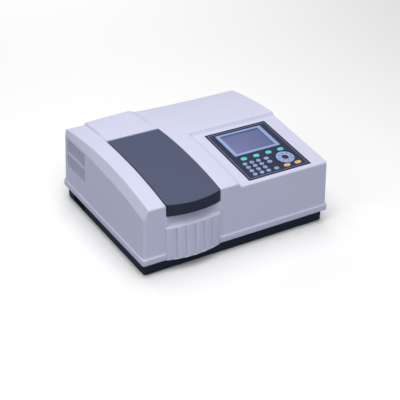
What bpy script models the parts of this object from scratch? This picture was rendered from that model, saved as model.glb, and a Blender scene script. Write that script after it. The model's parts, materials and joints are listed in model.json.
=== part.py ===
"""Double-beam bench spectrophotometer, modelled as separate pieces in metres.

The origin is on the bench under the middle of the case: +X is the operator's right, +Y the back
and +Z up.  Every moving piece has its origin on the axis of its joint, and neighbouring pieces
keep a running gap of GAP between them.
"""

import math

import bmesh
import bpy
from mathutils import Matrix, Vector

# ---- case: driving dimensions
CASE_WIDTH = 0.550
CASE_DEPTH = 0.474
FRONT_BULGE = 0.012
FOOT_HEIGHT = 0.003
TRAY_TOP = 0.0597
RIM_BOTTOM = 0.0375
RIM_TOP = 0.0536
RIM_STEP = 0.00375
WALL = 0.003
GAP = 0.0003
CORNER_RADIUS = 0.005

RIM_HALF = CASE_WIDTH / 2
RIM_BACK = (CASE_DEPTH + FRONT_BULGE) / 2
RIM_FRONT = RIM_BACK - CASE_DEPTH
RIM_BOX = (-RIM_HALF, RIM_HALF, RIM_FRONT, RIM_BACK)
TRAY_BOX = (-RIM_HALF + 0.008, RIM_HALF - 0.009, RIM_FRONT + 0.012, RIM_BACK - 0.010)

# ---- top of the case: one long arc from front to back
TOP_HALF = 0.2665
TOP_FRONT = -0.223
TOP_BACK = 0.234
ARC_RADIUS = 1.270
ARC_Y = 0.054
ARC_Z = 0.2175
EDGE_RADIUS = 0.005
SHOULDER_RUN = (0.013, 0.0035)
SHOULDER_FALL = (0.024, 0.016)
LEFT_STRIP_RISE = (-0.0035, 0.001)

# ---- bay for the lid, the lamp cover and the fascia
BAY_MIDDLE = -0.131
BAY_WIDTH = 0.153
BAY_LEFT = BAY_MIDDLE - BAY_WIDTH / 2
BAY_RIGHT = BAY_MIDDLE + BAY_WIDTH / 2
BAY_FRONT = -0.216
LID_SEAT = 0.016
COVER_SEAT = 0.006
COVER_FRONT = 0.0953
HUMP_RIGHT = -0.0725
HUMP_RISE = (0.0078, 0.0120)
STEP_LEFT = -0.003
STEP_RIGHT = 0.006

# ---- control platform: a plane that rises towards the back
PLATFORM_FRONT_Z = 0.1765
PLATFORM_SLOPE = 0.1367
PLATFORM_ANGLE = math.atan(PLATFORM_SLOPE)
CREASE_FRONT = 0.022
CREASE_BACK = 0.031

# ---- sample lid
LID_HALF = 0.0755
LID_SKIN = 0.003
LID_SKIRT = 0.013
LID_LIP_BOTTOM = 0.154
LID_LIP_BACK = -0.2194
HINGE_RADIUS = 0.007
HINGE_Y = COVER_FRONT - HINGE_RADIUS - 0.0006
PIN_RADIUS = 0.0025
PIN_BORE = 0.0028

# ---- fascia under the lid
FASCIA_BOTTOM = 0.035
FASCIA_LEDGE = 0.122
FASCIA_TOP = 0.1662
FASCIA_MIDDLE = -0.1344
FASCIA_HALF = 0.0762
FASCIA_END_Y = -0.2262
FASCIA_WALL_Y = -0.2187
CHEEK_Y = -0.2243
COVE_HALF = 0.062
CHEEK = 0.0042
CHEEK_TOP = 0.1525
RIB_GROOVES = 5
RIB_PITCH = 0.025
GROOVE_WIDTH = 0.003
GROOVE_DEPTH = 0.0015

# ---- control panel, in its own plane: u to the right, v up the slope, n out of the plane
PANEL_LOW = (0.037, 0.0135)
PANEL_HIGH = (0.227, 0.234)
PANEL_THICK = 0.0015
PANEL_REBATE = 0.0018
PANEL_LEDGE = 0.005
BEZEL_LOW = (0.061, 0.118)
BEZEL_HIGH = (0.202, 0.2195)
BEZEL_HEIGHT = 0.0003
BEZEL_DEPTH = 0.0024
SCREEN_CENTRE = (0.1314, 0.1695)
SCREEN_SIZE = (0.1187, 0.086)
SCREEN_MARGIN = 0.0025
SCREEN_THICK = 0.002
KEY_BACK = -0.0042
KEY_TOP = 0.0012
KEY_SEGMENTS = 16
SOFT_KEY_U = (0.0765, 0.1143, 0.152, 0.1896)
SOFT_KEY_V = 0.1005
SOFT_KEY_SIZE = (0.009, 0.0064)
NUMBER_KEY_U = (0.0663, 0.087, 0.1072)
KEY_ROW_V = (0.0795, 0.0637, 0.0477, 0.0319)
NUMBER_KEY_SIZE = (0.0062, 0.0058)
FUNCTION_KEY_U = 0.1315
FUNCTION_KEY_SIZE = (0.007, 0.0056)
ORANGE_KEY_U = (0.1643, 0.1981)
ORANGE_KEY_V = 0.0324
ORANGE_KEY_SIZE = (0.0095, 0.0055)
NAV_CENTRE = (0.1802, 0.0642)
NAV_RADIUS = 0.0246
NAV_HOLE = 0.0092
HUB_RADIUS = 0.0082
GIMBAL_INNER = 0.0115
GIMBAL_OUTER = 0.0200
KEY_CLEARANCE = 0.0005
NAV_CLEARANCE = 0.0008

# ---- side vents, in the left wall
VENT_FRONT = 0.103
VENT_BACK = 0.218
VENT_UPPER = (0.149, 0.187)
VENT_LOWER = (0.103, 0.141)
VENT_FACE_X = -0.2648
VENT_THICK = 0.002
VENT_SLOTS = 6

# ---- power entry, in the left side of the tray
ENTRY_FRONT = 0.122
ENTRY_BACK = 0.194
ENTRY_LOW = 0.009
ENTRY_HIGH = 0.034
ENTRY_FLOOR_X = -0.260
SWITCH_Y = 0.143
ENTRY_Z = 0.0215
SWITCH_LENGTH = 0.024
SWITCH_HEIGHT = 0.013
SWITCH_TILT = math.radians(8)
INLET_Y = 0.176
INLET_LENGTH = 0.027
INLET_HEIGHT = 0.0195

# ---- inside
BENCH_LOW = 0.048
BENCH_TOP = 0.056
TUB_LEFT = -0.203
TUB_RIGHT = -0.059
TUB_FRONT = -0.205
TUB_BACK = 0.068
TUB_WALL = 0.0025
TUB_RIM_DROP = 0.0063
GASKET_DROP = 0.0033
GASKET_WIDTH = 0.004
BEAM_Z = 0.087
BEAM_Y = (-0.050, -0.100)
CARRIAGE_X = -0.131
CARRIAGE_CELLS = 5
CELL_PITCH = 0.020
CARRIAGE_FRONT = -0.190
CARRIAGE_LOW = 0.063
CARRIAGE_TOP = 0.098
CUVETTE_SIDE = 0.0125
CUVETTE_HEIGHT = 0.045
SCREW_X = -0.103
SCREW_Z = 0.072
SCREW_RADIUS = 0.003
FAN_CENTRE = (-0.150, 0.130)
FAN_FRONT = 0.204
FAN_SIZE = 0.060
FAN_DEPTH = 0.025
FAN_BORE = 0.0285
FAN_SWEEP = 0.026
FAN_BLADES = 7
WHEEL_CENTRE = (-0.075, 0.125, 0.092)
WHEEL_RADIUS = 0.028
WHEEL_FILTERS = 6
GRATING_PLACE = (0.020, 0.150)
LAMP_MIRROR_PLACE = (-0.150, 0.120)
DEUTERIUM_PLACE = (-0.190, 0.170)
TUNGSTEN_PLACE = (-0.110, 0.175)

FINISHES = {
    "case_white": ((0.66, 0.66, 0.76), 0.45, 0.0),
    "tray_black": ((0.018, 0.022, 0.032), 0.5, 0.0),
    "lid_grey": ((0.085, 0.10, 0.17), 0.4, 0.0),
    "panel_dark": ((0.03, 0.035, 0.06), 0.35, 0.0),
    "bezel_blue": ((0.28, 0.36, 0.62), 0.4, 0.0),
    "screen_blue": ((0.16, 0.19, 0.34), 0.15, 0.0),
    "key_blue": ((0.30, 0.40, 0.62), 0.4, 0.0),
    "key_green": ((0.08, 0.62, 0.60), 0.4, 0.0),
    "key_orange": ((0.80, 0.50, 0.22), 0.4, 0.0),
    "rubber": ((0.02, 0.02, 0.022), 0.8, 0.0),
    "switch_red": ((0.55, 0.03, 0.02), 0.3, 0.0),
    "steel": ((0.55, 0.56, 0.58), 0.3, 1.0),
    "aluminium": ((0.60, 0.61, 0.63), 0.4, 1.0),
    "compartment_black": ((0.015, 0.015, 0.017), 0.6, 0.0),
    "mirror": ((0.85, 0.86, 0.88), 0.05, 1.0),
    "lamp_glass": ((0.80, 0.82, 0.84), 0.1, 0.0),
    "board_green": ((0.02, 0.16, 0.08), 0.5, 0.0),
}


# ---- scene, materials and objects
def clear_scene():
    for thing in list(bpy.data.objects):
        bpy.data.objects.remove(thing, do_unlink=True)


def finish_material(finish):
    made = bpy.data.materials.get(finish)
    if made:
        return made
    colour, roughness, metallic = FINISHES[finish]
    made = bpy.data.materials.new(finish)
    made.use_nodes = True
    shader = made.node_tree.nodes["Principled BSDF"]
    shader.inputs["Base Color"].default_value = (*colour, 1.0)
    shader.inputs["Roughness"].default_value = roughness
    shader.inputs["Metallic"].default_value = metallic
    return made


def mesh_object(name, shape, place):
    """Makes an object whose local frame is place, from a shape given in world metres."""
    mesh = bpy.data.meshes.new(name)
    bmesh.ops.transform(shape, matrix=place.inverted(), verts=shape.verts)
    shape.to_mesh(mesh)
    shape.free()
    made = bpy.data.objects.new(name, mesh)
    made.matrix_world = place
    bpy.context.collection.objects.link(made)
    return made


def piece(name, shape, finish, origin=(0, 0, 0), tilt=0.0):
    place = Matrix.Translation(origin) @ Matrix.Rotation(tilt, 4, "X")
    made = mesh_object(name, shape, place)
    made.data.materials.append(finish_material(finish))
    made.data.shade_smooth()
    made.data.set_sharp_from_angle(angle=math.radians(35))
    return made


def boolean(target, label, shape, operation):
    tool = mesh_object(target.name + "_" + label, shape, Matrix())
    tool.hide_render = True
    tool.display_type = "WIRE"
    step = target.modifiers.new(label, "BOOLEAN")
    step.operation = operation
    step.object = tool


def cut(target, label, shape):
    boolean(target, label, shape, "DIFFERENCE")


def join(target, label, shape):
    boolean(target, label, shape, "UNION")


# ---- shapes
def loft(loops):
    """Closed body through a list of loops that have the same number of points."""
    shape = bmesh.new()
    rings = [[shape.verts.new(point) for point in loop] for loop in loops]
    for low, high in zip(rings, rings[1:]):
        for k, corner in enumerate(low):
            after = (k + 1) % len(low)
            shape.faces.new((corner, low[after], high[after], high[k]))
    shape.faces.new(rings[0])
    shape.faces.new(rings[-1])
    bmesh.ops.recalc_face_normals(shape, faces=shape.faces)
    return shape


def box(low, high, place=Matrix()):
    """Box between two corners, carried by place."""
    (x0, y0, z0), (x1, y1, z1) = low, high
    plan = ((x0, y0), (x1, y0), (x1, y1), (x0, y1))
    return loft([[place @ Vector((x, y, z)) for x, y in plan] for z in (z0, z1)])


def boxes(pairs, place=Matrix()):
    """Several boxes that don't touch, as one shape for one cut."""
    shape = bmesh.new()
    for low, high in pairs:
        part = box(low, high, place)
        held = bpy.data.meshes.new("held")
        part.to_mesh(held)
        part.free()
        shape.from_mesh(held)
        bpy.data.meshes.remove(held)
    return shape


def turned(profile, segments, place=Matrix(), stretch=0.0):
    """Solid of revolution about local z; stretch makes it an oval that is longer along local x."""
    loops = []
    for radius, height in profile:
        loop = []
        for k in range(segments):
            angle = math.tau * (k + 0.5) / segments
            point = ((radius + stretch) * math.cos(angle), radius * math.sin(angle), height)
            loop.append(place @ Vector(point))
        loops.append(loop)
    return loft(loops)


def rod_x(x0, x1, y, z, radius, segments=20):
    place = Matrix.Translation((0, y, z)) @ Matrix.Rotation(math.pi / 2, 4, "Y")
    return turned(((radius, x0), (radius, x1)), segments, place)


def rod_y(y0, y1, x, z, radius, segments=20):
    place = Matrix.Translation((x, 0, z)) @ Matrix.Rotation(-math.pi / 2, 4, "X")
    return turned(((radius, y0), (radius, y1)), segments, place)


def rounded(x, y, plan, radius):
    """Moves a point in a corner square of the plan onto that corner's quarter disc."""
    left, right, front, back = plan
    a = x - min(max(x, left + radius), right - radius)
    b = y - min(max(y, front + radius), back - radius)
    if a == 0 or b == 0:
        return x, y
    pull = max(abs(a), abs(b)) / math.hypot(a, b) - 1
    return x + a * pull, y + b * pull


def rounded_loop(plan, radius, z, steps=3):
    left, right, front, back = plan
    centres = ((right, back), (left, back), (left, front), (right, front))
    loop = []
    for quarter, (x, y) in enumerate(centres):
        cx = x - math.copysign(radius, x - (left + right) / 2)
        cy = y - math.copysign(radius, y - (front + back) / 2)
        for k in range(steps + 1):
            angle = math.pi / 2 * (quarter + k / steps)
            loop.append((cx + radius * math.cos(angle), cy + radius * math.sin(angle), z))
    return loop


def grown(plan, amount):
    left, right, front, back = plan
    return (left - amount, right + amount, front - amount, back + amount)


def grid_faces(shape, grid):
    for low, high in zip(grid, grid[1:]):
        for k in range(len(low) - 1):
            shape.faces.new((low[k], high[k], high[k + 1], low[k + 1]))


def border(columns, stations):
    """Index pairs once round the edge of a grid."""
    last_x = len(columns) - 1
    last_y = len(stations) - 1
    around = [(i, 0) for i in range(last_x)]
    around += [(last_x, j) for j in range(last_y)]
    around += [(i, last_y) for i in range(last_x, 0, -1)]
    around += [(0, j) for j in range(last_y, 0, -1)]
    return around


def slab(columns, stations, top, bottom, front=None):
    """Body between two height fields; front(x) bends the first station into a plan curve."""
    shape = bmesh.new()
    grids = []
    for height in (top, bottom):
        grid = []
        for x in columns:
            ys = [front(x) if front else stations[0], *stations[1:]]
            grid.append([shape.verts.new((x, y, height(x, y))) for y in ys])
        grids.append(grid)
        grid_faces(shape, grid)
    around = border(columns, stations)
    for k, (i, j) in enumerate(around):
        i2, j2 = around[(k + 1) % len(around)]
        upper, lower = grids
        shape.faces.new((upper[i][j], upper[i2][j2], lower[i2][j2], lower[i][j]))
    bmesh.ops.recalc_face_normals(shape, faces=shape.faces)
    return shape


def case_body(columns, stations, height, rings, radius):
    """Height field with rounded corners, walls through the rings and a flat bottom."""
    plan = (columns[0], columns[-1], stations[0], stations[-1])
    shape = bmesh.new()
    grid = []
    for x in columns:
        column = []
        for y in stations:
            column.append(shape.verts.new((*rounded(x, y, plan, radius), height(x, y))))
        grid.append(column)
    grid_faces(shape, grid)
    around = border(columns, stations)
    upper = [grid[i][j] for i, j in around]
    for ring_plan, z in rings:
        left, right, ahead, behind = ring_plan
        lower = []
        for i, j in around:
            x = left + (columns[i] - plan[0]) * (right - left) / (plan[1] - plan[0])
            y = ahead + (stations[j] - plan[2]) * (behind - ahead) / (plan[3] - plan[2])
            lower.append(shape.verts.new((*rounded(x, y, ring_plan, radius), z)))
        for k, corner in enumerate(upper):
            after = (k + 1) % len(upper)
            shape.faces.new((corner, upper[after], lower[after], lower[k]))
        upper = lower
    shape.faces.new(upper)
    bmesh.ops.recalc_face_normals(shape, faces=shape.faces)
    return shape


# ---- the case's surfaces
def arc_z(y):
    return ARC_Z - ARC_RADIUS + math.sqrt(ARC_RADIUS ** 2 - (y - ARC_Y) ** 2)


def platform_z(y):
    return PLATFORM_FRONT_Z + PLATFORM_SLOPE * (y - TOP_FRONT)


def edge_drop(distance, radius):
    inside = max(radius - distance, 0.0)
    return radius - math.sqrt(max(radius ** 2 - inside ** 2, 0.0))


def toward_back(y, ends):
    """Value that stays at ends[0] over the front half and reaches ends[1] at the back."""
    return ends[0] + (ends[1] - ends[0]) * max(y, 0.0) / TOP_BACK


def shoulder_drop(x, y):
    run = toward_back(y, SHOULDER_RUN)
    reach = max(run - (x + TOP_HALF), 0.0) / run
    return toward_back(y, SHOULDER_FALL) * (1 - math.sqrt(max(1 - reach ** 2, 0.0)))


def case_height(x, y):
    """Outer skin of the main cover, with the seats of the lid and the lamp cover sunk in."""
    crown = arc_z(y)
    if x <= BAY_LEFT:
        height = crown + toward_back(y, LEFT_STRIP_RISE) - shoulder_drop(x, y)
    elif x < BAY_RIGHT:
        height = crown - (COVER_SEAT if y > COVER_FRONT else LID_SEAT)
    elif y >= CREASE_BACK:
        height = crown
    else:
        across = min(max((x - STEP_LEFT) / (STEP_RIGHT - STEP_LEFT), 0.0), 1.0)
        height = crown + (platform_z(y) - crown) * across
    ends = edge_drop(y - TOP_FRONT, EDGE_RADIUS) + edge_drop(TOP_BACK - y, EDGE_RADIUS)
    side = edge_drop(TOP_HALF - x, EDGE_RADIUS / 2)
    return height - max(ends, side)


def core_height(x, y):
    """Inner skin: one wall below the lowest outer skin within reach."""
    near = (-WALL, 0.0, WALL)
    return min(case_height(x + a, y + b) for a in near for b in near) - WALL


def hump_z(x, y):
    """Top of the lamp cover: it swells to the back, climbs to the right and falls to the deck."""
    run = (y - COVER_FRONT) / (TOP_BACK - COVER_FRONT)
    climb = min((x - BAY_LEFT) / (HUMP_RIGHT - BAY_LEFT), 1.0)
    fall = min(max((x - HUMP_RIGHT) / (BAY_RIGHT - HUMP_RIGHT), 0.0), 1.0)
    rise = HUMP_RISE[0] + (HUMP_RISE[1] - HUMP_RISE[0]) * climb
    return arc_z(y) + 0.0008 + run * rise * (1 + math.cos(math.pi * fall)) / 2


def panel_place(u, v, n=0.0):
    """Frame on the control platform: local x is u, local y is v and local z is n."""
    tilt = Matrix.Rotation(PLATFORM_ANGLE, 4, "X")
    return Matrix.Translation((0, TOP_FRONT, PLATFORM_FRONT_Z)) @ tilt @ Matrix.Translation((u, v, n))


def even(first, last, count):
    return [first + (last - first) * k / (count - 1) for k in range(count)]


# ---- outside
def make_main_cover():
    bend = CORNER_RADIUS * 0.59
    columns = [-TOP_HALF, -TOP_HALF + bend, -TOP_HALF + CORNER_RADIUS, -TOP_HALF + 0.009]
    columns += [-TOP_HALF + SHOULDER_RUN[0], BAY_LEFT, BAY_LEFT + 0.0002, BAY_RIGHT - 0.0002, BAY_RIGHT]
    columns += [STEP_LEFT, STEP_RIGHT, TOP_HALF - CORNER_RADIUS, TOP_HALF - bend, TOP_HALF]
    stations = [TOP_FRONT, TOP_FRONT + bend, TOP_FRONT + CORNER_RADIUS]
    stations += even(-0.180, -0.010, 5) + [CREASE_FRONT, CREASE_BACK, COVER_FRONT, COVER_FRONT + 0.0002]
    stations += even(0.130, 0.200, 3) + [TOP_BACK - CORNER_RADIUS, TOP_BACK - bend, TOP_BACK]
    rings = [(grown(RIM_BOX, -RIM_STEP), RIM_TOP)]
    rings += [(grown(RIM_BOX, -0.0012), RIM_TOP - 0.0003), (RIM_BOX, RIM_TOP - 0.002), (RIM_BOX, RIM_BOTTOM)]
    cover = piece("main_cover", case_body(columns, stations, case_height, rings, CORNER_RADIUS), "case_white")
    cut(cover, "front_bay", front_bay())
    cut(cover, "cavity", cover_cavity())
    cut(cover, "openings", cover_openings())
    cut(cover, "panel_rebate", panel_box(PANEL_LOW, PANEL_HIGH, -PANEL_REBATE, 0.010, GAP))
    cut(cover, "panel_window", panel_box(PANEL_LOW, PANEL_HIGH, -0.012, 0.010, -PANEL_LEDGE))
    cut(cover, "pin_hole", rod_x(BAY_LEFT - 0.006, BAY_RIGHT + 0.006, HINGE_Y, hinge_z(), PIN_BORE, 16))
    cut(cover, "fan_hole", rod_y(0.225, 0.250, *FAN_CENTRE, FAN_BORE - 0.002, 28))
    return cover


def front_bay():
    """Space in the front wall for the fascia and, above it, the lid's lip."""
    left = FASCIA_MIDDLE - FASCIA_HALF - GAP
    right = FASCIA_MIDDLE + FASCIA_HALF + GAP
    outline = [(left, 0.020), (right, 0.020), (right, CHEEK_TOP), (BAY_RIGHT, CHEEK_TOP), (BAY_RIGHT, 0.230)]
    outline += [(BAY_LEFT, 0.230), (BAY_LEFT, FASCIA_TOP + GAP), (left, FASCIA_TOP + GAP)]
    return loft([[(x, y, z) for x, z in outline] for y in (-0.260, BAY_FRONT)])


def cover_cavity():
    """Space inside the main cover, down through the ledge that stands on the tray."""
    half = TOP_HALF - WALL
    columns = [-half, -half + 0.004, -half + 0.012, BAY_LEFT - WALL - 0.0012, BAY_LEFT - WALL + 0.0001]
    columns += [BAY_RIGHT + WALL - 0.0001, BAY_RIGHT + WALL + 0.0002]
    columns += [STEP_LEFT - WALL, STEP_RIGHT - WALL, half]
    stations = [TOP_FRONT + WALL, TOP_FRONT + 0.010] + even(-0.180, -0.010, 5)
    stations += [CREASE_FRONT - WALL, CREASE_BACK - WALL]
    stations += [COVER_FRONT + WALL - 0.0002, COVER_FRONT + WALL + 0.0001]
    stations += even(0.130, 0.200, 3) + [TOP_BACK - WALL]
    ledge = 0.064
    rings = [(grown(RIM_BOX, -RIM_STEP - WALL), ledge), (grown(TRAY_BOX, -0.001), ledge)]
    rings += [(grown(TRAY_BOX, -0.001), TRAY_TOP + GAP), (grown(TRAY_BOX, 0.0006), TRAY_TOP + GAP)]
    rings += [(grown(TRAY_BOX, 0.0006), 0.0505), (grown(RIM_BOX, -WALL), 0.0505)]
    rings += [(grown(RIM_BOX, -WALL), 0.030)]
    return case_body(columns, stations, core_height, rings, 0.002)


def cover_openings():
    """Sample opening, lamp access and side vents, as one set of cuts."""
    reach = 0.0004
    sample = ((TUB_LEFT - reach, TUB_FRONT - reach, 0.150), (TUB_RIGHT + reach, TUB_BACK + reach, 0.230))
    lamps = ((BAY_LEFT + 0.012, COVER_FRONT + 0.014, 0.180), (BAY_RIGHT - 0.012, 0.222, 0.230))
    pairs = [sample, lamps]
    for low, high in (VENT_LOWER, VENT_UPPER):
        pairs.append(((-0.280, VENT_FRONT, low), (-0.255, VENT_BACK, high)))
    return boxes(pairs)


def make_lamp_cover():
    left = BAY_LEFT + GAP
    right = BAY_RIGHT - GAP
    stations = [COVER_FRONT + GAP] + even(0.130, 0.200, 3)
    stations += [TOP_BACK - CORNER_RADIUS, TOP_BACK - CORNER_RADIUS * 0.59, TOP_BACK - 0.0008, TOP_BACK]

    def top(x, y):
        return hump_z(x, y) - edge_drop(TOP_BACK - y, 0.003)

    def seat(x, y):
        return arc_z(y) - COVER_SEAT + GAP - edge_drop(TOP_BACK - y, EDGE_RADIUS)

    columns = even(left, HUMP_RIGHT, 4) + even(HUMP_RIGHT, right, 5)[1:]
    cover = piece("lamp_cover", slab(columns, stations, top, seat), "case_white")
    inner = [COVER_FRONT + WALL] + even(0.130, 0.200, 3) + [TOP_BACK - WALL - 0.002]

    def ceiling(x, y):
        return hump_z(x, y) - WALL

    def below(x, y):
        return arc_z(y) - 0.020

    columns = even(left + WALL, HUMP_RIGHT - 0.001, 4) + even(HUMP_RIGHT - 0.001, right - WALL, 4)[1:]
    cut(cover, "hollow", slab(columns, inner, ceiling, below))
    return cover


def fascia_section(x, recess, cove, full=False):
    """Closed outline of the fascia at x; cove is the share of the finger cove's full depth.

    The full section has no step behind the lid's lip.
    """
    bulge = 1 - ((x - FASCIA_MIDDLE) / FASCIA_HALF) ** 2
    foot = FASCIA_END_Y + (RIM_FRONT - FRONT_BULGE - FASCIA_END_Y) * bulge
    brow = FASCIA_END_Y - 0.0085 * bulge
    wall = CHEEK_Y + (FASCIA_WALL_Y - CHEEK_Y) * cove
    face = [(foot + recess, FASCIA_BOTTOM), (brow + recess, FASCIA_LEDGE - 0.003)]
    face += [(brow + 0.0008, FASCIA_LEDGE - 0.0008), (min(brow + 0.0022, wall), FASCIA_LEDGE)]
    start = min(brow + 0.003, wall)
    for k in range(5):
        angle = math.pi / 2 * k / 4
        face.append((start + (wall - start) * math.sin(angle), 0.139 - 0.0165 * math.cos(angle)))
    upper = wall if full else FASCIA_WALL_Y
    face += [(wall, CHEEK_TOP - 0.0006), (upper, CHEEK_TOP), (upper, FASCIA_TOP)]
    back = [(-0.2147, FASCIA_TOP), (-0.2147, 0.064), (TRAY_BOX[2] - 0.0006, 0.0615)]
    back.append((TRAY_BOX[2] - 0.0006, FASCIA_BOTTOM))
    return [(x, y, z) for y, z in face + back]


def make_front_fascia():
    """Ribbed panel under the lid, with a rounded ledge, a finger cove and a cheek at each end."""
    left = FASCIA_MIDDLE - FASCIA_HALF
    right = FASCIA_MIDDLE + FASCIA_HALF
    sections = [fascia_section(x, 0.0, 0.0, True) for x in (left, BAY_LEFT - GAP)]
    sections += [fascia_section(x, 0.0, 0.0) for x in (BAY_LEFT + GAP, left + CHEEK + 0.003)]
    sections.append(fascia_section(FASCIA_MIDDLE - COVE_HALF, 0.0, 1.0))
    for k in range(RIB_GROOVES):
        middle = FASCIA_MIDDLE + RIB_PITCH * (k - (RIB_GROOVES - 1) / 2)
        for aside, deep in ((-GROOVE_WIDTH / 2, 0.0), (0.0, GROOVE_DEPTH), (GROOVE_WIDTH / 2, 0.0)):
            sections.append(fascia_section(middle + aside, deep, 1.0))
    sections.append(fascia_section(FASCIA_MIDDLE + COVE_HALF, 0.0, 1.0))
    sections += [fascia_section(x, 0.0, 0.0) for x in (right - CHEEK, right)]
    return piece("front_fascia", loft(sections), "case_white")


def hinge_z():
    return arc_z(HINGE_Y) - HINGE_RADIUS - 0.0001


def lid_front(x):
    """Plan curve of the lid's front edge."""
    return TOP_FRONT - FRONT_BULGE * (1 - ((x - BAY_MIDDLE) / LID_HALF) ** 2)


def make_sample_lid():
    """Curved lid with a deep front lip, side skirts and a hinge knuckle at the back."""
    def top(x, y):
        return arc_z(y)

    def bottom(x, y):
        return LID_LIP_BOTTOM if y < LID_LIP_BACK + 0.0001 else arc_z(y) - LID_SKIRT

    left = BAY_MIDDLE - LID_HALF
    right = BAY_MIDDLE + LID_HALF
    stations = [0, LID_LIP_BACK, LID_LIP_BACK + 0.0004] + even(-0.170, 0.040, 6) + [HINGE_Y]
    lid = piece(
        "sample_lid",
        slab(even(left, right, 9), stations, top, bottom, lid_front),
        "lid_grey",
        (BAY_MIDDLE, HINGE_Y, hinge_z()),
    )
    inner = [0] + even(-0.190, 0.040, 6) + [HINGE_Y - 0.008]

    def inner_front(x):
        return lid_front(x) + LID_SKIN

    def ceiling(x, y):
        return arc_z(y) - LID_SKIN

    def below(x, y):
        return 0.140

    hollow = slab(even(left + LID_SKIN, right - LID_SKIN, 7), inner, ceiling, below, inner_front)
    cut(lid, "hollow", hollow)
    join(lid, "knuckle", rod_x(left, right, HINGE_Y, hinge_z(), HINGE_RADIUS, 24))
    cut(lid, "bore", rod_x(left - 0.01, right + 0.01, HINGE_Y, hinge_z(), PIN_BORE, 16))
    return lid


def make_hinge_pin():
    reach = BAY_WIDTH / 2 + 0.0025
    pin = rod_x(BAY_MIDDLE - reach, BAY_MIDDLE + reach, HINGE_Y, hinge_z(), PIN_RADIUS, 16)
    return piece("lid_hinge_pin", pin, "steel")


def make_base_tray():
    """Moulded tray with a sunk power entry in its left side."""
    outer = [rounded_loop(grown(TRAY_BOX, -0.0015), 0.005, FOOT_HEIGHT)]
    outer += [rounded_loop(TRAY_BOX, 0.006, FOOT_HEIGHT + 0.0015), rounded_loop(TRAY_BOX, 0.006, TRAY_TOP)]
    tray = piece("base_tray", loft(outer), "tray_black")
    inside = grown(TRAY_BOX, -0.0025)
    floor = FOOT_HEIGHT + 0.0025
    cut(tray, "inside", loft([rounded_loop(inside, 0.004, floor), rounded_loop(inside, 0.004, 0.080)]))
    left = TRAY_BOX[0]
    low = (left + 0.001, ENTRY_FRONT - 0.003, floor - 0.001)
    join(tray, "entry_pocket", box(low, (ENTRY_FLOOR_X + 0.003, ENTRY_BACK + 0.003, 0.038)))
    low = (left - 0.01, ENTRY_FRONT, ENTRY_LOW)
    cut(tray, "entry_recess", box(low, (ENTRY_FLOOR_X, ENTRY_BACK, ENTRY_HIGH)))
    holes = []
    for middle, length, height in (
        (SWITCH_Y, SWITCH_LENGTH, SWITCH_HEIGHT),
        (INLET_Y, INLET_LENGTH, INLET_HEIGHT),
    ):
        y = length / 2 + 0.0005
        z = height / 2 + 0.0005
        holes.append(((left, middle - y, ENTRY_Z - z), (ENTRY_FLOOR_X + 0.01, middle + y, ENTRY_Z + z)))
    cut(tray, "entry_holes", boxes(holes))
    vents = []
    for k in range(8):
        y = -0.175 + 0.012 * k
        vents.append(((0.140, y, -0.01), (0.240, y + 0.004, 0.02)))
    cut(tray, "floor_vents", boxes(vents))
    return tray


def make_feet():
    profile = ((0.0105, 0.0), (0.0120, 0.0008), (0.0130, FOOT_HEIGHT - GAP))
    for depth, y in (("front", TRAY_BOX[2] + 0.030), ("rear", TRAY_BOX[3] - 0.030)):
        for side, x in (("left", TRAY_BOX[0] + 0.030), ("right", TRAY_BOX[1] - 0.030)):
            piece(f"foot_{depth}_{side}", turned(profile, 20, Matrix.Translation((x, y, 0))), "rubber")


def make_side_vent(name, low, high):
    """Louvred grille sunk in the left wall."""
    edge = 0.0004
    x1 = VENT_FACE_X
    plate = box((x1 - VENT_THICK, VENT_FRONT + edge, low + edge), (x1, VENT_BACK - edge, high - edge))
    vent = piece(name, plate, "case_white")
    pitch = (high - low - 0.004) / VENT_SLOTS
    slots = []
    for k in range(VENT_SLOTS):
        z = low + 0.002 + pitch * (k + 0.5)
        near = (x1 - 0.01, VENT_FRONT + 0.004, z - 0.0013)
        slots.append((near, (x1 + 0.01, VENT_BACK - 0.004, z + 0.0013)))
    cut(vent, "slots", boxes(slots))


def make_power_switch():
    """Rocker on a vertical axis; it rests with its rear half pressed in."""
    pivot = (ENTRY_FLOOR_X + 0.003, SWITCH_Y, ENTRY_Z)
    face = 0.0065
    half = SWITCH_LENGTH / 2 - 0.0015
    outline = [(0.004, -0.006), (0.004, 0.006), (-0.002, half), (-face, half), (-face + 0.0012, 0.0)]
    outline += [(-face, -half), (-0.002, -half)]
    turn = Matrix.Translation(pivot) @ Matrix.Rotation(-SWITCH_TILT, 4, "Z")
    tall = SWITCH_HEIGHT / 2 - 0.0006
    loops = [[turn @ Vector((x, y, z)) for x, y in outline] for z in (-tall, tall)]
    piece("power_switch", loft(loops), "switch_red", pivot)


def make_power_inlet():
    """Three-pin mains inlet beside the switch."""
    y0 = INLET_Y - INLET_LENGTH / 2
    y1 = INLET_Y + INLET_LENGTH / 2
    z0 = ENTRY_Z - INLET_HEIGHT / 2
    z1 = ENTRY_Z + INLET_HEIGHT / 2
    front = ENTRY_FLOOR_X - 0.003
    inlet = piece("power_inlet", box((front, y0, z0), (ENTRY_FLOOR_X + 0.016, y1, z1)), "compartment_black")
    well = box((front - 0.01, y0 + 0.002, z0 + 0.002), (ENTRY_FLOOR_X + 0.010, y1 - 0.002, z1 - 0.002))
    cut(inlet, "well", well)
    pins = []
    for y, z in ((-0.007, -0.002), (0.0, 0.002), (0.007, -0.002)):
        low = (ENTRY_FLOOR_X - 0.001, INLET_Y + y - 0.001, ENTRY_Z + z - 0.002)
        high = (ENTRY_FLOOR_X + 0.012, INLET_Y + y + 0.001, ENTRY_Z + z + 0.002)
        pins.append((low, high))
    join(inlet, "pins", boxes(pins))


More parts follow.
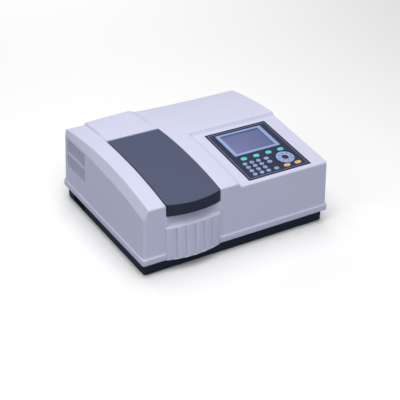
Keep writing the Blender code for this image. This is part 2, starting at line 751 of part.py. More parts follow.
# ---- control panel
def panel_box(low, high, n0, n1, margin):
    """Box over a rectangle of the panel plane, grown by margin on its four sides."""
    (u0, v0), (u1, v1) = low, high
    return box((u0 - margin, v0 - margin, n0), (u1 + margin, v1 + margin, n1), panel_place(0, 0))


def key_table():
    """Name, centre, half sizes and finish of every key that slides straight in."""
    keys = []
    for k, u in enumerate(SOFT_KEY_U):
        keys.append((f"soft_key_{k + 1}", u, SOFT_KEY_V, SOFT_KEY_SIZE, "key_green"))
    for row, v in enumerate(KEY_ROW_V):
        for column, u in enumerate(NUMBER_KEY_U):
            name = f"number_key_{row * len(NUMBER_KEY_U) + column + 1}"
            keys.append((name, u, v, NUMBER_KEY_SIZE, "key_blue"))
    for k, v in enumerate((KEY_ROW_V[0], KEY_ROW_V[1], KEY_ROW_V[3])):
        keys.append((f"function_key_{k + 1}", FUNCTION_KEY_U, v, FUNCTION_KEY_SIZE, "key_blue"))
    for k, u in enumerate(ORANGE_KEY_U):
        keys.append((f"run_key_{k + 1}", u, ORANGE_KEY_V, ORANGE_KEY_SIZE, "key_orange"))
    return keys


def make_keypad_panel():
    plate = panel_box(PANEL_LOW, PANEL_HIGH, -PANEL_THICK, 0.0, -GAP)
    panel = piece("keypad_panel", plate, "panel_dark", panel_place(0, 0).translation, PLATFORM_ANGLE)
    cut(panel, "screen_hole", panel_box(BEZEL_LOW, BEZEL_HIGH, -0.01, 0.01, GAP))
    for name, u, v, (long, short), _ in key_table():
        profile = [(short + KEY_CLEARANCE, n) for n in (-0.004, 0.004)]
        cut(panel, name, turned(profile, KEY_SEGMENTS, panel_place(u, v), long - short))
    profile = [(NAV_RADIUS + NAV_CLEARANCE, n) for n in (-0.004, 0.004)]
    cut(panel, "nav", turned(profile, 32, panel_place(*NAV_CENTRE)))


def make_lcd():
    """Bezel frame dropped into the panel, with the display glass behind it."""
    frame = panel_box(BEZEL_LOW, BEZEL_HIGH, -BEZEL_DEPTH, BEZEL_HEIGHT, -GAP)
    bezel = piece("lcd_bezel", frame, "bezel_blue", panel_place(0, 0).translation, PLATFORM_ANGLE)
    loops = []
    for n, spread in ((-0.01, 0.0), (-BEZEL_DEPTH, 0.0), (0.002, 0.002)):
        half_u = SCREEN_SIZE[0] / 2 + spread
        half_v = SCREEN_SIZE[1] / 2 + spread
        corners = ((-half_u, -half_v), (half_u, -half_v), (half_u, half_v), (-half_u, half_v))
        loops.append([panel_place(*SCREEN_CENTRE, n) @ Vector((u, v, 0)) for u, v in corners])
    cut(bezel, "window", loft(loops))
    low = [c - s / 2 for c, s in zip(SCREEN_CENTRE, SCREEN_SIZE)]
    high = [c + s / 2 for c, s in zip(SCREEN_CENTRE, SCREEN_SIZE)]
    front = -BEZEL_DEPTH - GAP
    glass = panel_box(low, high, front - SCREEN_THICK, front, SCREEN_MARGIN)
    piece("lcd_screen", glass, "screen_blue", panel_place(0, 0).translation, PLATFORM_ANGLE)


def make_keys():
    for name, u, v, (long, short), finish in key_table():
        profile = ((short, KEY_BACK), (short, KEY_TOP - 0.0006), (short - 0.0012, KEY_TOP))
        shape = turned(profile, KEY_SEGMENTS, panel_place(u, v), long - short)
        piece(name, shape, finish, panel_place(u, v).translation, PLATFORM_ANGLE)


def ring_shape(name, outer, inner, finish):
    """Flat ring in the panel plane about the navigation centre."""
    place = panel_place(*NAV_CENTRE)
    ring = piece(name, turned(outer, 32, place), finish, place.translation, PLATFORM_ANGLE)
    cut(ring, "bore", turned(((inner, -0.02), (inner, 0.02)), 20, place))


def make_navigation():
    """Tilting ring on a gimbal, round a hub that presses straight in."""
    top = KEY_TOP + 0.0003
    face = ((NAV_RADIUS, -0.0022), (NAV_RADIUS, top - 0.0010), (NAV_RADIUS - 0.0016, top))
    ring_shape("nav_ring", face, NAV_HOLE, "key_blue")
    gimbal = ((GIMBAL_OUTER, -0.0060), (GIMBAL_OUTER, -0.0045))
    ring_shape("nav_gimbal", gimbal, GIMBAL_INNER, "compartment_black")
    profile = ((HUB_RADIUS, KEY_BACK), (HUB_RADIUS, top - 0.0006), (HUB_RADIUS - 0.0012, top))
    place = panel_place(*NAV_CENTRE)
    piece("nav_hub", turned(profile, 20, place), "panel_dark", place.translation, PLATFORM_ANGLE)


# ---- sample compartment
def make_sample_tub():
    """Deep black tub whose rim follows the lid; beam windows in its side walls."""
    stations = [TUB_FRONT] + even(-0.150, 0.010, 4) + [TUB_BACK]

    def rim(x, y):
        return arc_z(y) - TUB_RIM_DROP

    def foot(x, y):
        return BENCH_TOP + GAP

    tub = piece("sample_tub", slab([TUB_LEFT, TUB_RIGHT], stations, rim, foot), "compartment_black")
    low = (TUB_LEFT + TUB_WALL, TUB_FRONT + TUB_WALL, BENCH_TOP + GAP + TUB_WALL)
    cut(tub, "inside", box(low, (TUB_RIGHT - TUB_WALL, TUB_BACK - TUB_WALL, 0.240)))
    for k, y in enumerate(BEAM_Y):
        cut(tub, f"beam_{k}", rod_x(TUB_LEFT - 0.01, TUB_RIGHT + 0.01, y, BEAM_Z, 0.006, 16))
    hole = rod_y(TUB_BACK - 0.01, TUB_BACK + 0.01, SCREW_X, SCREW_Z, SCREW_RADIUS + 0.0004, 16)
    cut(tub, "screw_hole", hole)


def make_lid_gasket():
    """Light seal on the tub's rim."""
    stations = [TUB_FRONT] + even(-0.150, 0.010, 4) + [TUB_BACK]

    def top(x, y):
        return arc_z(y) - GASKET_DROP

    def foot(x, y):
        return arc_z(y) - TUB_RIM_DROP + GAP

    gasket = piece("lid_gasket", slab([TUB_LEFT, TUB_RIGHT], stations, top, foot), "rubber")
    low = (TUB_LEFT + GASKET_WIDTH, TUB_FRONT + GASKET_WIDTH, 0.150)
    cut(gasket, "opening", box(low, (TUB_RIGHT - GASKET_WIDTH, TUB_BACK - GASKET_WIDTH, 0.240)))


def cell_y(k):
    return CARRIAGE_FRONT + CELL_PITCH * (k + 0.5)


def make_cell_carriage():
    """Holder for a row of cuvettes, with the nut lug that the screw drives."""
    length = CELL_PITCH * CARRIAGE_CELLS
    low = (CARRIAGE_X - 0.012, CARRIAGE_FRONT, CARRIAGE_LOW)
    origin = (SCREW_X, CARRIAGE_FRONT + length / 2, SCREW_Z)
    block = box(low, (CARRIAGE_X + 0.012, CARRIAGE_FRONT + length, CARRIAGE_TOP))
    carriage = piece("cell_carriage", block, "aluminium", origin)
    middle = CARRIAGE_FRONT + length / 2
    lug = box((CARRIAGE_X + 0.010, middle - 0.010, CARRIAGE_LOW), (SCREW_X + 0.008, middle + 0.010, 0.081))
    join(carriage, "nut_lug", lug)
    pocket = CUVETTE_SIDE / 2 + 0.0003
    pockets = []
    windows = []
    for k in range(CARRIAGE_CELLS):
        y = cell_y(k)
        pockets.append(((CARRIAGE_X - pocket, y - pocket, 0.070), (CARRIAGE_X + pocket, y + pocket, 0.120)))
        windows.append(((CARRIAGE_X - 0.02, y - 0.004, 0.081), (CARRIAGE_X + 0.02, y + 0.004, 0.093)))
    cut(carriage, "pockets", boxes(pockets))
    cut(carriage, "windows", boxes(windows))
    bore = rod_y(middle - 0.02, middle + 0.02, SCREW_X, SCREW_Z, SCREW_RADIUS + 0.0003, 16)
    cut(carriage, "nut_bore", bore)


def make_cuvette():
    half = CUVETTE_SIDE / 2
    y = cell_y(CARRIAGE_CELLS // 2)
    foot = 0.070 + GAP
    top = foot + CUVETTE_HEIGHT
    body = box((CARRIAGE_X - half, y - half, foot), (CARRIAGE_X + half, y + half, top))
    cuvette = piece("cuvette", body, "lamp_glass", (CARRIAGE_X, y, foot))
    wall = 0.00125
    low = (CARRIAGE_X - half + wall, y - half + wall, foot + wall)
    cut(cuvette, "well", box(low, (CARRIAGE_X + half - wall, y + half - wall, top + 0.01)))


def make_carriage_drive():
    """Lead screw and the motor that turns it."""
    front = TUB_FRONT + TUB_WALL + 0.004
    screw = rod_y(front, TUB_BACK + 0.007, SCREW_X, SCREW_Z, SCREW_RADIUS, 16)
    piece("carriage_screw", screw, "steel", (SCREW_X, front, SCREW_Z))
    back = TUB_BACK + 0.002
    body = box((SCREW_X - 0.014, back, BENCH_TOP + GAP), (SCREW_X + 0.014, back + 0.024, SCREW_Z + 0.014))
    motor = piece("carriage_motor", body, "compartment_black")
    cut(motor, "shaft_well", rod_y(back - 0.01, back + 0.007, SCREW_X, SCREW_Z, SCREW_RADIUS + 0.0004, 16))


# ---- optics, lamps and electronics
def make_optical_bench():
    """Cast L-shaped plate on legs that carries the tub, the lamps and the monochromator."""
    outline = [(-0.252, -0.205), (-0.020, -0.205), (-0.020, 0.060)]
    outline += [(0.250, 0.060), (0.250, 0.222), (-0.252, 0.222)]
    plate = loft([[(x, y, z) for x, y in outline] for z in (BENCH_LOW, BENCH_TOP)])
    bench = piece("optical_bench", plate, "aluminium")
    floor = FOOT_HEIGHT + 0.0025 + GAP
    legs = []
    places = [(-0.235, -0.190), (-0.035, -0.190), (-0.225, 0.080)]
    places += [(0.235, 0.080), (-0.225, 0.207), (0.235, 0.207)]
    for x, y in places:
        legs.append(((x - 0.008, y - 0.008, floor), (x + 0.008, y + 0.008, BENCH_LOW + 0.002)))
    join(bench, "legs", boxes(legs))
    x, y, z = WHEEL_CENTRE
    post = box((x + 0.008, y - 0.008, BENCH_TOP - 0.002), (x + 0.014, y + 0.008, z + 0.008))
    join(bench, "wheel_post", post)
    cut(bench, "wheel_bore", rod_x(x, x + 0.020, y, z, 0.0029, 16))


def make_filter_wheel():
    """Disc of filters on a stub shaft that turns in the bench's post."""
    x, y, z = WHEEL_CENTRE
    place = Matrix.Translation(WHEEL_CENTRE) @ Matrix.Rotation(math.pi / 2, 4, "Y")
    profile = ((WHEEL_RADIUS, -0.002), (WHEEL_RADIUS, 0.002))
    wheel = piece("filter_wheel", turned(profile, 32, place), "compartment_black", WHEEL_CENTRE)
    join(wheel, "shaft", rod_x(x, x + 0.017, y, z, 0.0025, 16))
    for k in range(WHEEL_FILTERS):
        angle = math.tau * k / WHEEL_FILTERS
        y1 = y + 0.018 * math.cos(angle)
        z1 = z + 0.018 * math.sin(angle)
        cut(wheel, f"filter_{k}", rod_x(x - 0.01, x + 0.01, y1, z1, 0.006, 12))


def upright(name, profile, plan, finish, segments=20):
    """Turned piece standing on the bench."""
    x, y = plan
    return piece(name, turned(profile, segments, Matrix.Translation((x, y, 0))), finish, (x, y, BENCH_TOP))


def make_lamps():
    foot = BENCH_TOP + GAP
    bulb = ((0.019, foot), (0.019, 0.061), (0.013, 0.063), (0.013, 0.108), (0.009, 0.114), (0.004, 0.117))
    upright("deuterium_lamp", bulb, DEUTERIUM_PLACE, "lamp_glass")
    bulb = ((0.014, foot), (0.014, 0.076), (0.006, 0.078), (0.006, 0.098), (0.0035, 0.103))
    upright("tungsten_lamp", bulb, TUNGSTEN_PLACE, "lamp_glass", 16)


def make_turning_optic(name, plan, finish, half, thick, turn):
    """Turntable with an upright optical plate on it; it turns about its own middle."""
    x, y = plan
    foot = BENCH_TOP + GAP
    base = upright(name, ((0.014, foot), (0.014, 0.066)), plan, finish, 24)
    place = Matrix.Translation((x, y, 0)) @ Matrix.Rotation(turn, 4, "Z")
    join(base, "plate", box((-half, -thick / 2, 0.065), (half, thick / 2, 0.065 + 2 * half), place))


def make_fixed_optics():
    foot = BENCH_TOP + GAP
    slit = piece("slit_plate", box((-0.048, 0.085, foot), (-0.045, 0.165, 0.115)), "compartment_black")
    slits = []
    for y in (0.105, 0.145):
        slits.append(((-0.060, y - 0.0005, 0.082), (-0.030, y + 0.0005, 0.092)))
    cut(slit, "slits", boxes(slits))
    mirror = piece("collimating_mirror", box((0.212, 0.095, foot), (0.226, 0.155, 0.120)), "mirror")
    bowl = Matrix.Translation((0.212 - 0.297, 0.125, 0.088)) @ Matrix.Rotation(math.pi / 2, 4, "Y")
    cut(mirror, "bowl", turned(((0.001, 0.3010), (0.024, 0.3000), (0.034, 0.2900)), 24, bowl))
    detector = piece("detector", box((-0.250, -0.115, foot), (-0.222, -0.035, 0.105)), "compartment_black")
    for k, y in enumerate(BEAM_Y):
        join(detector, f"snout_{k}", rod_x(-0.224, TUB_LEFT - 0.003, y, BEAM_Z, 0.008, 16))
        cut(detector, f"bore_{k}", rod_x(-0.230, -0.190, y, BEAM_Z, 0.005, 12))


def make_fan():
    x, z = FAN_CENTRE
    half = FAN_SIZE / 2
    back = FAN_FRONT + FAN_DEPTH
    block = box((x - half, FAN_FRONT, z - half), (x + half, back, z + half))
    frame = piece("fan_frame", block, "compartment_black")
    cut(frame, "bore", rod_y(FAN_FRONT - 0.01, back + 0.01, x, z, FAN_BORE, 28))
    reach = FAN_BORE + 0.0005
    join(frame, "spokes", box((x - reach, back - 0.004, z - 0.0015), (x + reach, back - 0.002, z + 0.0015)))
    middle = (x, FAN_FRONT + 0.010, z)
    hub = rod_y(FAN_FRONT + 0.002, back - 0.006, x, z, 0.012, 20)
    rotor = piece("fan_rotor", hub, "compartment_black", middle)
    for k in range(FAN_BLADES):
        turn = Matrix.Translation(middle) @ Matrix.Rotation(math.tau * k / FAN_BLADES, 4, "Y")
        pitch = Matrix.Rotation(math.radians(38), 4, "X")
        low = (0.011, -0.0006, -0.007)
        join(rotor, f"blade_{k}", box(low, (FAN_SWEEP, 0.0006, 0.007), turn @ pitch))


def make_electronics():
    board = piece("main_board", box((-0.010, -0.200, 0.0200), (0.120, 0.045, 0.0216)), "board_green")
    chips = []
    for x, y, wide, deep, tall in (
        (0.030, -0.150, 0.030, 0.030, 0.004),
        (0.080, -0.120, 0.024, 0.040, 0.003),
        (0.040, -0.060, 0.040, 0.016, 0.010),
        (0.090, 0.000, 0.020, 0.030, 0.012),
    ):
        chips.append(((x, y, 0.0210), (x + wide, y + deep, 0.0216 + tall)))
    join(board, "chips", boxes(chips))
    supply = piece("power_supply", box((0.130, -0.190, 0.0065), (0.250, -0.070, 0.052)), "steel")
    slots = []
    for k in range(9):
        x = 0.142 + 0.011 * k
        slots.append(((x, -0.175, 0.045), (x + 0.004, -0.085, 0.060)))
    cut(supply, "slots", boxes(slots))


def build():
    clear_scene()
    make_base_tray()
    make_feet()
    make_main_cover()
    make_lamp_cover()
    make_front_fascia()
    make_sample_lid()
    make_hinge_pin()
    make_side_vent("side_vent_upper", *VENT_UPPER)
    make_side_vent("side_vent_lower", *VENT_LOWER)
    make_power_switch()
    make_power_inlet()
    make_keypad_panel()
    make_lcd()
    make_keys()
    make_navigation()
    make_sample_tub()
    make_lid_gasket()
    make_cell_carriage()
    make_cuvette()
    make_carriage_drive()
    make_optical_bench()
    make_filter_wheel()
    make_lamps()
    make_turning_optic("lamp_mirror", LAMP_MIRROR_PLACE, "mirror", 0.013, 0.003, math.radians(45))
    make_turning_optic("grating_mount", GRATING_PLACE, "mirror", 0.016, 0.008, math.radians(20))
    make_fixed_optics()
    make_fan()
    make_electronics()


build()
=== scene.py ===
"""Looks of a double-beam bench spectrophotometer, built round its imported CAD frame.

Everything is in metres: +X is the operator's right, +Y the back and +Z up.  The outer shells are
rebuilt here as fine double skins, and the pieces inside the case keep their CAD shape with
softened edges.  Every surface gets its own node material.
"""

import json
import math

import bmesh
import bpy
from mathutils import Matrix, Vector


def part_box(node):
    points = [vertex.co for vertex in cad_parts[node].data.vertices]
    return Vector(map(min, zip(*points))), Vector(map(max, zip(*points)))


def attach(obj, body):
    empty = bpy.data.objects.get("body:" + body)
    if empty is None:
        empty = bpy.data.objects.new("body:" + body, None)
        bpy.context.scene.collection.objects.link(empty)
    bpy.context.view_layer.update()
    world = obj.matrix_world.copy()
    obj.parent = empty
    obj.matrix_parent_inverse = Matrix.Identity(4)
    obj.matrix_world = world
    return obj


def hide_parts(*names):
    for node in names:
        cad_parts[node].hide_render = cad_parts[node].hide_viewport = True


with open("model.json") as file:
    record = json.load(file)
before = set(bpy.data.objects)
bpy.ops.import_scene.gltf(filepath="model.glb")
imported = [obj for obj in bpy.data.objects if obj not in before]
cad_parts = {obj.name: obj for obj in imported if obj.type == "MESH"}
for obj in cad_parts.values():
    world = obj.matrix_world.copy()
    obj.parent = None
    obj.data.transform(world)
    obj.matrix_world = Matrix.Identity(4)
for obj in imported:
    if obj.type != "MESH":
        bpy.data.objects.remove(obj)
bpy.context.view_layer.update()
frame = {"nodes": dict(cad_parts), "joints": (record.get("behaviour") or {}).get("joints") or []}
joints = {joint["name"]: joint for joint in frame["joints"]}

# ---- case, from the frame and the shape of its top
cover_low, cover_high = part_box("main_cover")
tray_low, tray_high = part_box("base_tray")
RIM = (cover_low.x, cover_high.x, cover_low.y, cover_high.y)
TRAY = (tray_low.x, tray_high.x, tray_low.y, tray_high.y)
TRAY_TOP = tray_high.z
RIM_BOTTOM = 0.0375
RIM_TOP = 0.0536
RIM_STEP = 0.00375
RIM_COVE = 0.0060
RIM_EDGE = 0.0006
WALL = 0.003
TOP = (-0.2665, 0.2692, -0.223, 0.234)
ARC_RADIUS = 1.270
ARC_Y = 0.054
ARC_Z = 0.2175
CORNER = 0.0065
FRONT_EDGE = 0.003
SIDE_EDGE = 0.002
LIP_EDGE = 0.0009
SHOULDER_RUN = (0.0135, 0.0055)
SHOULDER_FALL = (0.025, 0.016)
CREASE_SOFT = 0.0012
LEFT_STRIP_RISE = (-0.0035, 0.001)

# ---- bay for the lid, the lamp cover and the fascia
lid_low, lid_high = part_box("sample_lid")
fascia_low, fascia_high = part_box("front_fascia")
tub_low, tub_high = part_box("sample_tub")
LID_LEFT = lid_low.x - 0.0004
LID_RIGHT = lid_high.x + 0.0006
BAY_LEFT = LID_LEFT - 0.0003
BAY_RIGHT = LID_RIGHT + 0.0004
BAY_FRONT = -0.216
BAY_INNER = -0.2135
LID_SEAT = 0.016
COVER_SEAT = 0.006
COVER_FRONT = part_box("lamp_cover")[0].y - 0.0003
STEP = (-0.003, 0.006)
CREASE = (0.022, 0.031)
HUMP_RIGHT = -0.0725
HUMP_RISE = (0.0078, 0.0120)
HUMP_STEP = 0.0004
DECK_RISE = 0.0048
DECK_REACH = 0.22
OPENING_MARGIN = 0.0004
CHEEK_TOP = 0.1525
NOTCH_GAP = 0.0001
BAY_FADE = (0.020, 0.040)
RING_GAP = 0.0004
HAIR = 0.0001
GRID_STEP = 0.009
INNER_LEDGE_Z = 0.064
TRAY_SEAT_Z = 0.0505
SEAT_GAP = 0.0003
HUMP_LEFT = BAY_LEFT + HAIR
HUMP_END = BAY_RIGHT - SEAT_GAP
HUMP_FRONT = COVER_FRONT - 0.0002
HUMP_EDGE = 0.0007
HUMP_SIDE = 0.0085
HUMP_BACK_EDGE = 0.004
HUMP_BLEND = 0.060

# ---- control platform
press_axis = Vector(joints["soft_key_1_press"]["axis"])
PLATFORM_ANGLE = math.atan2(press_axis.y, -press_axis.z)
PLATFORM_FRONT_Z = 0.1765
PANEL_LOW = (0.037, 0.0135)
PANEL_HIGH = (0.227, 0.234)
PANEL_REBATE = 0.0018
REBATE_GAP = 0.00025
REBATE_STEP = 0.0002
PANEL_LEDGE = 0.005
BEZEL_LOW = (0.061, 0.118)
BEZEL_HIGH = (0.202, 0.2195)
SCREEN_MIDDLE = (0.1314, 0.1695)
SCREEN_SIZE = (0.1187, 0.086)
SCREEN_DEPTH = 0.0026
LINE_INSETS = (0.0062, 0.0078)
KEY_RISE = 0.0013
KEY_FOOT = -0.0042
NAV_RADIUS = 0.0245
NAV_HOLE = 0.0094
NAV_RISE = 0.0016
HUB_RADIUS = 0.0081

# ---- lid and fascia
HINGE_Y, HINGE_Z = joints["lid_hinge"]["pos_m"][1:]
HINGE_RADIUS = 0.007
LID_FRONT_CORNER = 0.0065
LID_REAR_CORNER = 0.0055
LID_EDGE = 0.0016
LID_SKIN = 0.003
LID_SKIRT = 0.013
SKIRT_SHARES = (0.3, 0.75, 0.98, 1.0)
SKIRT_GAP = 0.0002
KNUCKLE_SHARE = 0.036
LIP_SHARE = 0.009
LID_LIP_BACK = -0.2168
FRONT_BULGE = 0.012
LINER_INSET = 0.0052
LINER_BARS = 7
fascia_middle = (fascia_low.x + fascia_high.x) / 2
fascia_half = (fascia_high.x - fascia_low.x) / 2
FASCIA_FOOT = RIM_BOTTOM - 0.0025
FASCIA_BACK_Y = -0.2160
FASCIA_WALL_Y = -0.2187
FASCIA_END_Y = -0.2305
BROW_BULGE = 0.0068
FASCIA_SIDE_EDGE = 0.0026
FASCIA_TOP = 0.1536
LEDGE_Z = 0.126
LEDGE_EDGE = 0.0022
LEDGE_FLAT = 0.0045
LEDGE_FALL = 0.0006
COVE_RISE = 0.0265
RIB_PITCH = 0.025
RIB_GROOVES = 5
GROOVE_LEFT = 0.0020
GROOVE_RIGHT = 0.0056
GROOVE_DEPTH = 0.0050
RIB_SLOPE = 0.0018
CHEEK_BLEND = (0.056, 0.0735)

# ---- sides and back
FRONT_BROW = 0.1785
SIDE_BROW = 0.190
BACK_BROW = 0.2005
VENT_Y = (0.103, 0.218)
VENT_Z = ((0.103, 0.141), (0.149, 0.187))
fan_low, fan_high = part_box("fan_frame")
FAN_X = (fan_low.x + fan_high.x) / 2
FAN_Z = (fan_low.z + fan_high.z) / 2
FAN_WINDOW = 0.030
SCREW_RADIUS = 0.0032
SCREW_HEIGHT = 0.0014
VENT_RIM = 0.0022
VENT_SLATS = 9
SLAT_TILT = math.radians(29)
GUARD_WIRE = 0.0006
WALL_LEVELS = [0.172, CHEEK_TOP + 0.0002, CHEEK_TOP, 0.122, 0.085, 0.066]
WALL_LEVELS += [FAN_Z + FAN_WINDOW, FAN_Z - FAN_WINDOW] + [z for window in VENT_Z for z in window]
WALL_LEVELS.sort(reverse=True)


# ---- node materials
class Paint:
    """A Principled material whose inputs are fed by small chains of nodes."""

    def __init__(self, name, colour, roughness, metallic=0.0):
        self.material = bpy.data.materials.new(name)
        self.material.use_nodes = True
        self.nodes = self.material.node_tree.nodes
        self.links = self.material.node_tree.links
        self.shader = self.nodes["Principled BSDF"]
        self.shader.inputs["Metallic"].default_value = metallic
        self.place = self.nodes.new("ShaderNodeTexCoord").outputs["Object"]
        self.colour = (*colour, 1.0)
        self.colour_out = None
        self.rough = roughness
        self.bumps = []

    def link(self, source, target):
        self.links.new(source, target)

    def noise(self, scale, detail=3.0, stretch=None):
        """Noise that comes out between 0 and 1, scale in cells for each metre."""
        made = self.nodes.new("ShaderNodeTexNoise")
        made.inputs["Scale"].default_value = scale
        made.inputs["Detail"].default_value = detail
        source = self.place
        if stretch:
            mapping = self.nodes.new("ShaderNodeMapping")
            mapping.inputs["Scale"].default_value = stretch
            self.link(source, mapping.inputs["Vector"])
            source = mapping.outputs["Vector"]
        self.link(source, made.inputs["Vector"])
        return made.outputs["Fac"]

    def math(self, operation, first, second, third=None):
        made = self.nodes.new("ShaderNodeMath")
        made.operation = operation
        for slot, value in zip(made.inputs, (first, second, third)):
            if isinstance(value, (int, float)):
                slot.default_value = value
            elif value is not None:
                self.link(value, slot)
        return made.outputs["Value"]

    def ramp(self, source, low, high):
        made = self.nodes.new("ShaderNodeMapRange")
        made.inputs["From Min"].default_value = low
        made.inputs["From Max"].default_value = high
        self.link(source, made.inputs["Value"])
        return made.outputs["Result"]

    def mix(self, share, colour):
        """Lays another colour over what is there; share is a number or an output."""
        made = self.nodes.new("ShaderNodeMix")
        made.data_type = "RGBA"
        if isinstance(share, float):
            made.inputs["Factor"].default_value = share
        else:
            self.link(share, made.inputs["Factor"])
        if self.colour_out:
            self.link(self.colour_out, made.inputs["A"])
        else:
            made.inputs["A"].default_value = self.colour
        made.inputs["B"].default_value = (*colour, 1.0)
        self.colour_out = made.outputs["Result"]
        return self

    def mottle(self, scale, amount, tint=0.8):
        """Slow change of colour over the surface."""
        shade = tuple(c * tint for c in self.colour[:3])
        return self.mix(self.math("MULTIPLY", self.ramp(self.noise(scale), 0.35, 0.75), amount), shade)

    def uneven(self, scale, spread):
        """Roughness that wanders round its mean."""
        wander = self.math("MULTIPLY_ADD", self.noise(scale, 4.0), spread * 2, self.rough - spread)
        self.link(wander, self.shader.inputs["Roughness"])
        return self

    def grain(self, scale, strength, height=0.0001, stretch=None, detail=3.0):
        self.bumps.append((self.noise(scale, detail, stretch), strength, height))
        return self

    def edge_wear_and_highlight(self, amount, colour, width=0.0012):
        """Edges that turn towards another colour, as the bevel node finds them: rubbed wear, and on the
        case's white a painted highlight.
        """
        bevel = self.nodes.new("ShaderNodeBevel")
        bevel.samples = 4
        bevel.inputs["Radius"].default_value = width
        geometry = self.nodes.new("ShaderNodeNewGeometry")
        dot = self.nodes.new("ShaderNodeVectorMath")
        dot.operation = "DOT_PRODUCT"
        self.link(bevel.outputs["Normal"], dot.inputs[0])
        self.link(geometry.outputs["Normal"], dot.inputs[1])
        edge = self.ramp(dot.outputs["Value"], 0.995, 0.80)
        patchy = self.math("MULTIPLY", edge, self.ramp(self.noise(160.0), 0.25, 0.7))
        return self.mix(self.math("MULTIPLY", patchy, amount), colour)

    def coat(self, weight, roughness=0.1):
        self.shader.inputs["Coat Weight"].default_value = weight
        self.shader.inputs["Coat Roughness"].default_value = roughness
        return self

    def done(self):
        if self.colour_out:
            self.link(self.colour_out, self.shader.inputs["Base Color"])
        else:
            self.shader.inputs["Base Color"].default_value = self.colour
        if not self.shader.inputs["Roughness"].is_linked:
            self.shader.inputs["Roughness"].default_value = self.rough
        normal = None
        for height, strength, distance in self.bumps:
            bump = self.nodes.new("ShaderNodeBump")
            bump.inputs["Strength"].default_value = strength
            bump.inputs["Distance"].default_value = distance
            self.link(height, bump.inputs["Height"])
            if normal:
                self.link(normal, bump.inputs["Normal"])
            normal = bump.outputs["Normal"]
        if normal:
            self.link(normal, self.shader.inputs["Normal"])
        return self.material


def moulded(name, colour, roughness, wear_and_highlight, wear_and_highlight_colour=(0.9, 0.9, 0.92), shine=0.5):
    """Moulded plastic: spark-eroded grain, slow mottling, and edges mixed towards another colour: rubbed
    wear, and on the case's white a painted highlight.
    """
    paint = Paint(name, colour, roughness)
    paint.shader.inputs["Specular IOR Level"].default_value = shine
    paint.mottle(9.0, 0.16, 0.86).mottle(70.0, 0.08, 0.85)
    paint.edge_wear_and_highlight(wear_and_highlight, wear_and_highlight_colour)
    paint.uneven(26.0, 0.05)
    paint.grain(2600.0, 0.22, 0.00006).grain(7.0, 0.05, 0.002)
    return paint.done()


def machined(name, colour, roughness, stretch):
    paint = Paint(name, colour, roughness, 1.0)
    paint.mottle(30.0, 0.25, 0.8).uneven(40.0, 0.08)
    paint.grain(900.0, 0.25, 0.00005, stretch)
    return paint.done()


# finish: colour, roughness, share of the edge colour, edge colour, specular level; the edge colour is
# rubbed wear, and on case_white a painted highlight
MOULDED = {
    # case_white's edges turn near white: a painted highlight along its rounded edges, where light catches
    # them
    "case_white": ((0.605, 0.615, 0.775), 0.42, 0.8, (0.95, 0.95, 0.99)),
    # the case's white darkened for the louvres: painted shade in the vents
    "vent_white": ((0.50, 0.51, 0.66), 0.46, 0.1),
    "lid_grey": ((0.072, 0.085, 0.149), 0.56, 0.35, (0.03, 0.034, 0.055), 0.25),
    # the lid's colour darkened, worn by the faces that don't face up: painted shade on the lid's lip and
    # sides
    "lid_dark": ((0.024, 0.029, 0.054), 0.55, 0.25, (0.05, 0.056, 0.09), 0.2),
    "tray_black": ((0.015, 0.026, 0.041), 0.62, 0.3, (0.04, 0.045, 0.06), 0.15),
    "panel_dark": ((0.024, 0.031, 0.062), 0.50, 0.1, (0.10, 0.12, 0.16), 0.3),
    "panel_line": ((0.17, 0.19, 0.34), 0.42, 0.0),
    "bezel_blue": ((0.27, 0.36, 0.63), 0.40, 0.3),
    "key_blue": ((0.29, 0.38, 0.64), 0.38, 0.35),
    "key_mark": ((0.03, 0.04, 0.08), 0.4, 0.0),
    "key_green": ((0.10, 0.56, 0.62), 0.38, 0.35),
    "key_orange": ((0.82, 0.50, 0.25), 0.38, 0.35),
    "rubber": ((0.016, 0.016, 0.018), 0.8, 0.4, (0.06, 0.06, 0.06)),
    "compartment_black": ((0.014, 0.014, 0.016), 0.62, 0.4, (0.07, 0.07, 0.08)),
}


def make_materials():
    made = {name: moulded(name, *values) for name, values in MOULDED.items()}
    switch = Paint("switch_red", (0.50, 0.018, 0.012), 0.22).mottle(120.0, 0.2)
    made["switch_red"] = switch.uneven(90.0, 0.05).done()
    made["steel"] = machined("steel", (0.50, 0.51, 0.53), 0.30, (1.0, 12.0, 1.0))
    made["aluminium"] = machined("aluminium", (0.58, 0.59, 0.61), 0.38, (12.0, 1.0, 1.0))
    mirror = Paint("mirror", (0.86, 0.87, 0.89), 0.06, 1.0).mottle(60.0, 0.1, 0.9).uneven(50.0, 0.03)
    made["mirror"] = mirror.grain(40.0, 0.03, 0.0001).done()
    glass = Paint("lamp_glass", (0.86, 0.89, 0.92), 0.05).mottle(40.0, 0.1, 0.9).uneven(60.0, 0.03)
    glass.shader.inputs["Transmission Weight"].default_value = 0.85
    made["lamp_glass"] = glass.grain(30.0, 0.05, 0.0002).done()
    board = Paint("board_green", (0.014, 0.11, 0.055), 0.35).mottle(240.0, 0.5, 0.6).uneven(120.0, 0.1)
    made["board_green"] = board.grain(900.0, 0.4, 0.0002).done()
    screen = Paint("screen_blue", (0.132, 0.152, 0.300), 0.50).mottle(9.0, 0.3, 0.8).uneven(20.0, 0.04)
    made["screen_blue"] = screen.grain(3000.0, 0.05, 0.00005).coat(0.05, 0.4).done()
    return made


materials = make_materials()


# ---- shapes
def add_object(name, data):
    """A new object that holds this data, linked to the scene."""
    made = bpy.data.objects.new(name, data)
    bpy.context.scene.collection.objects.link(made)
    return made


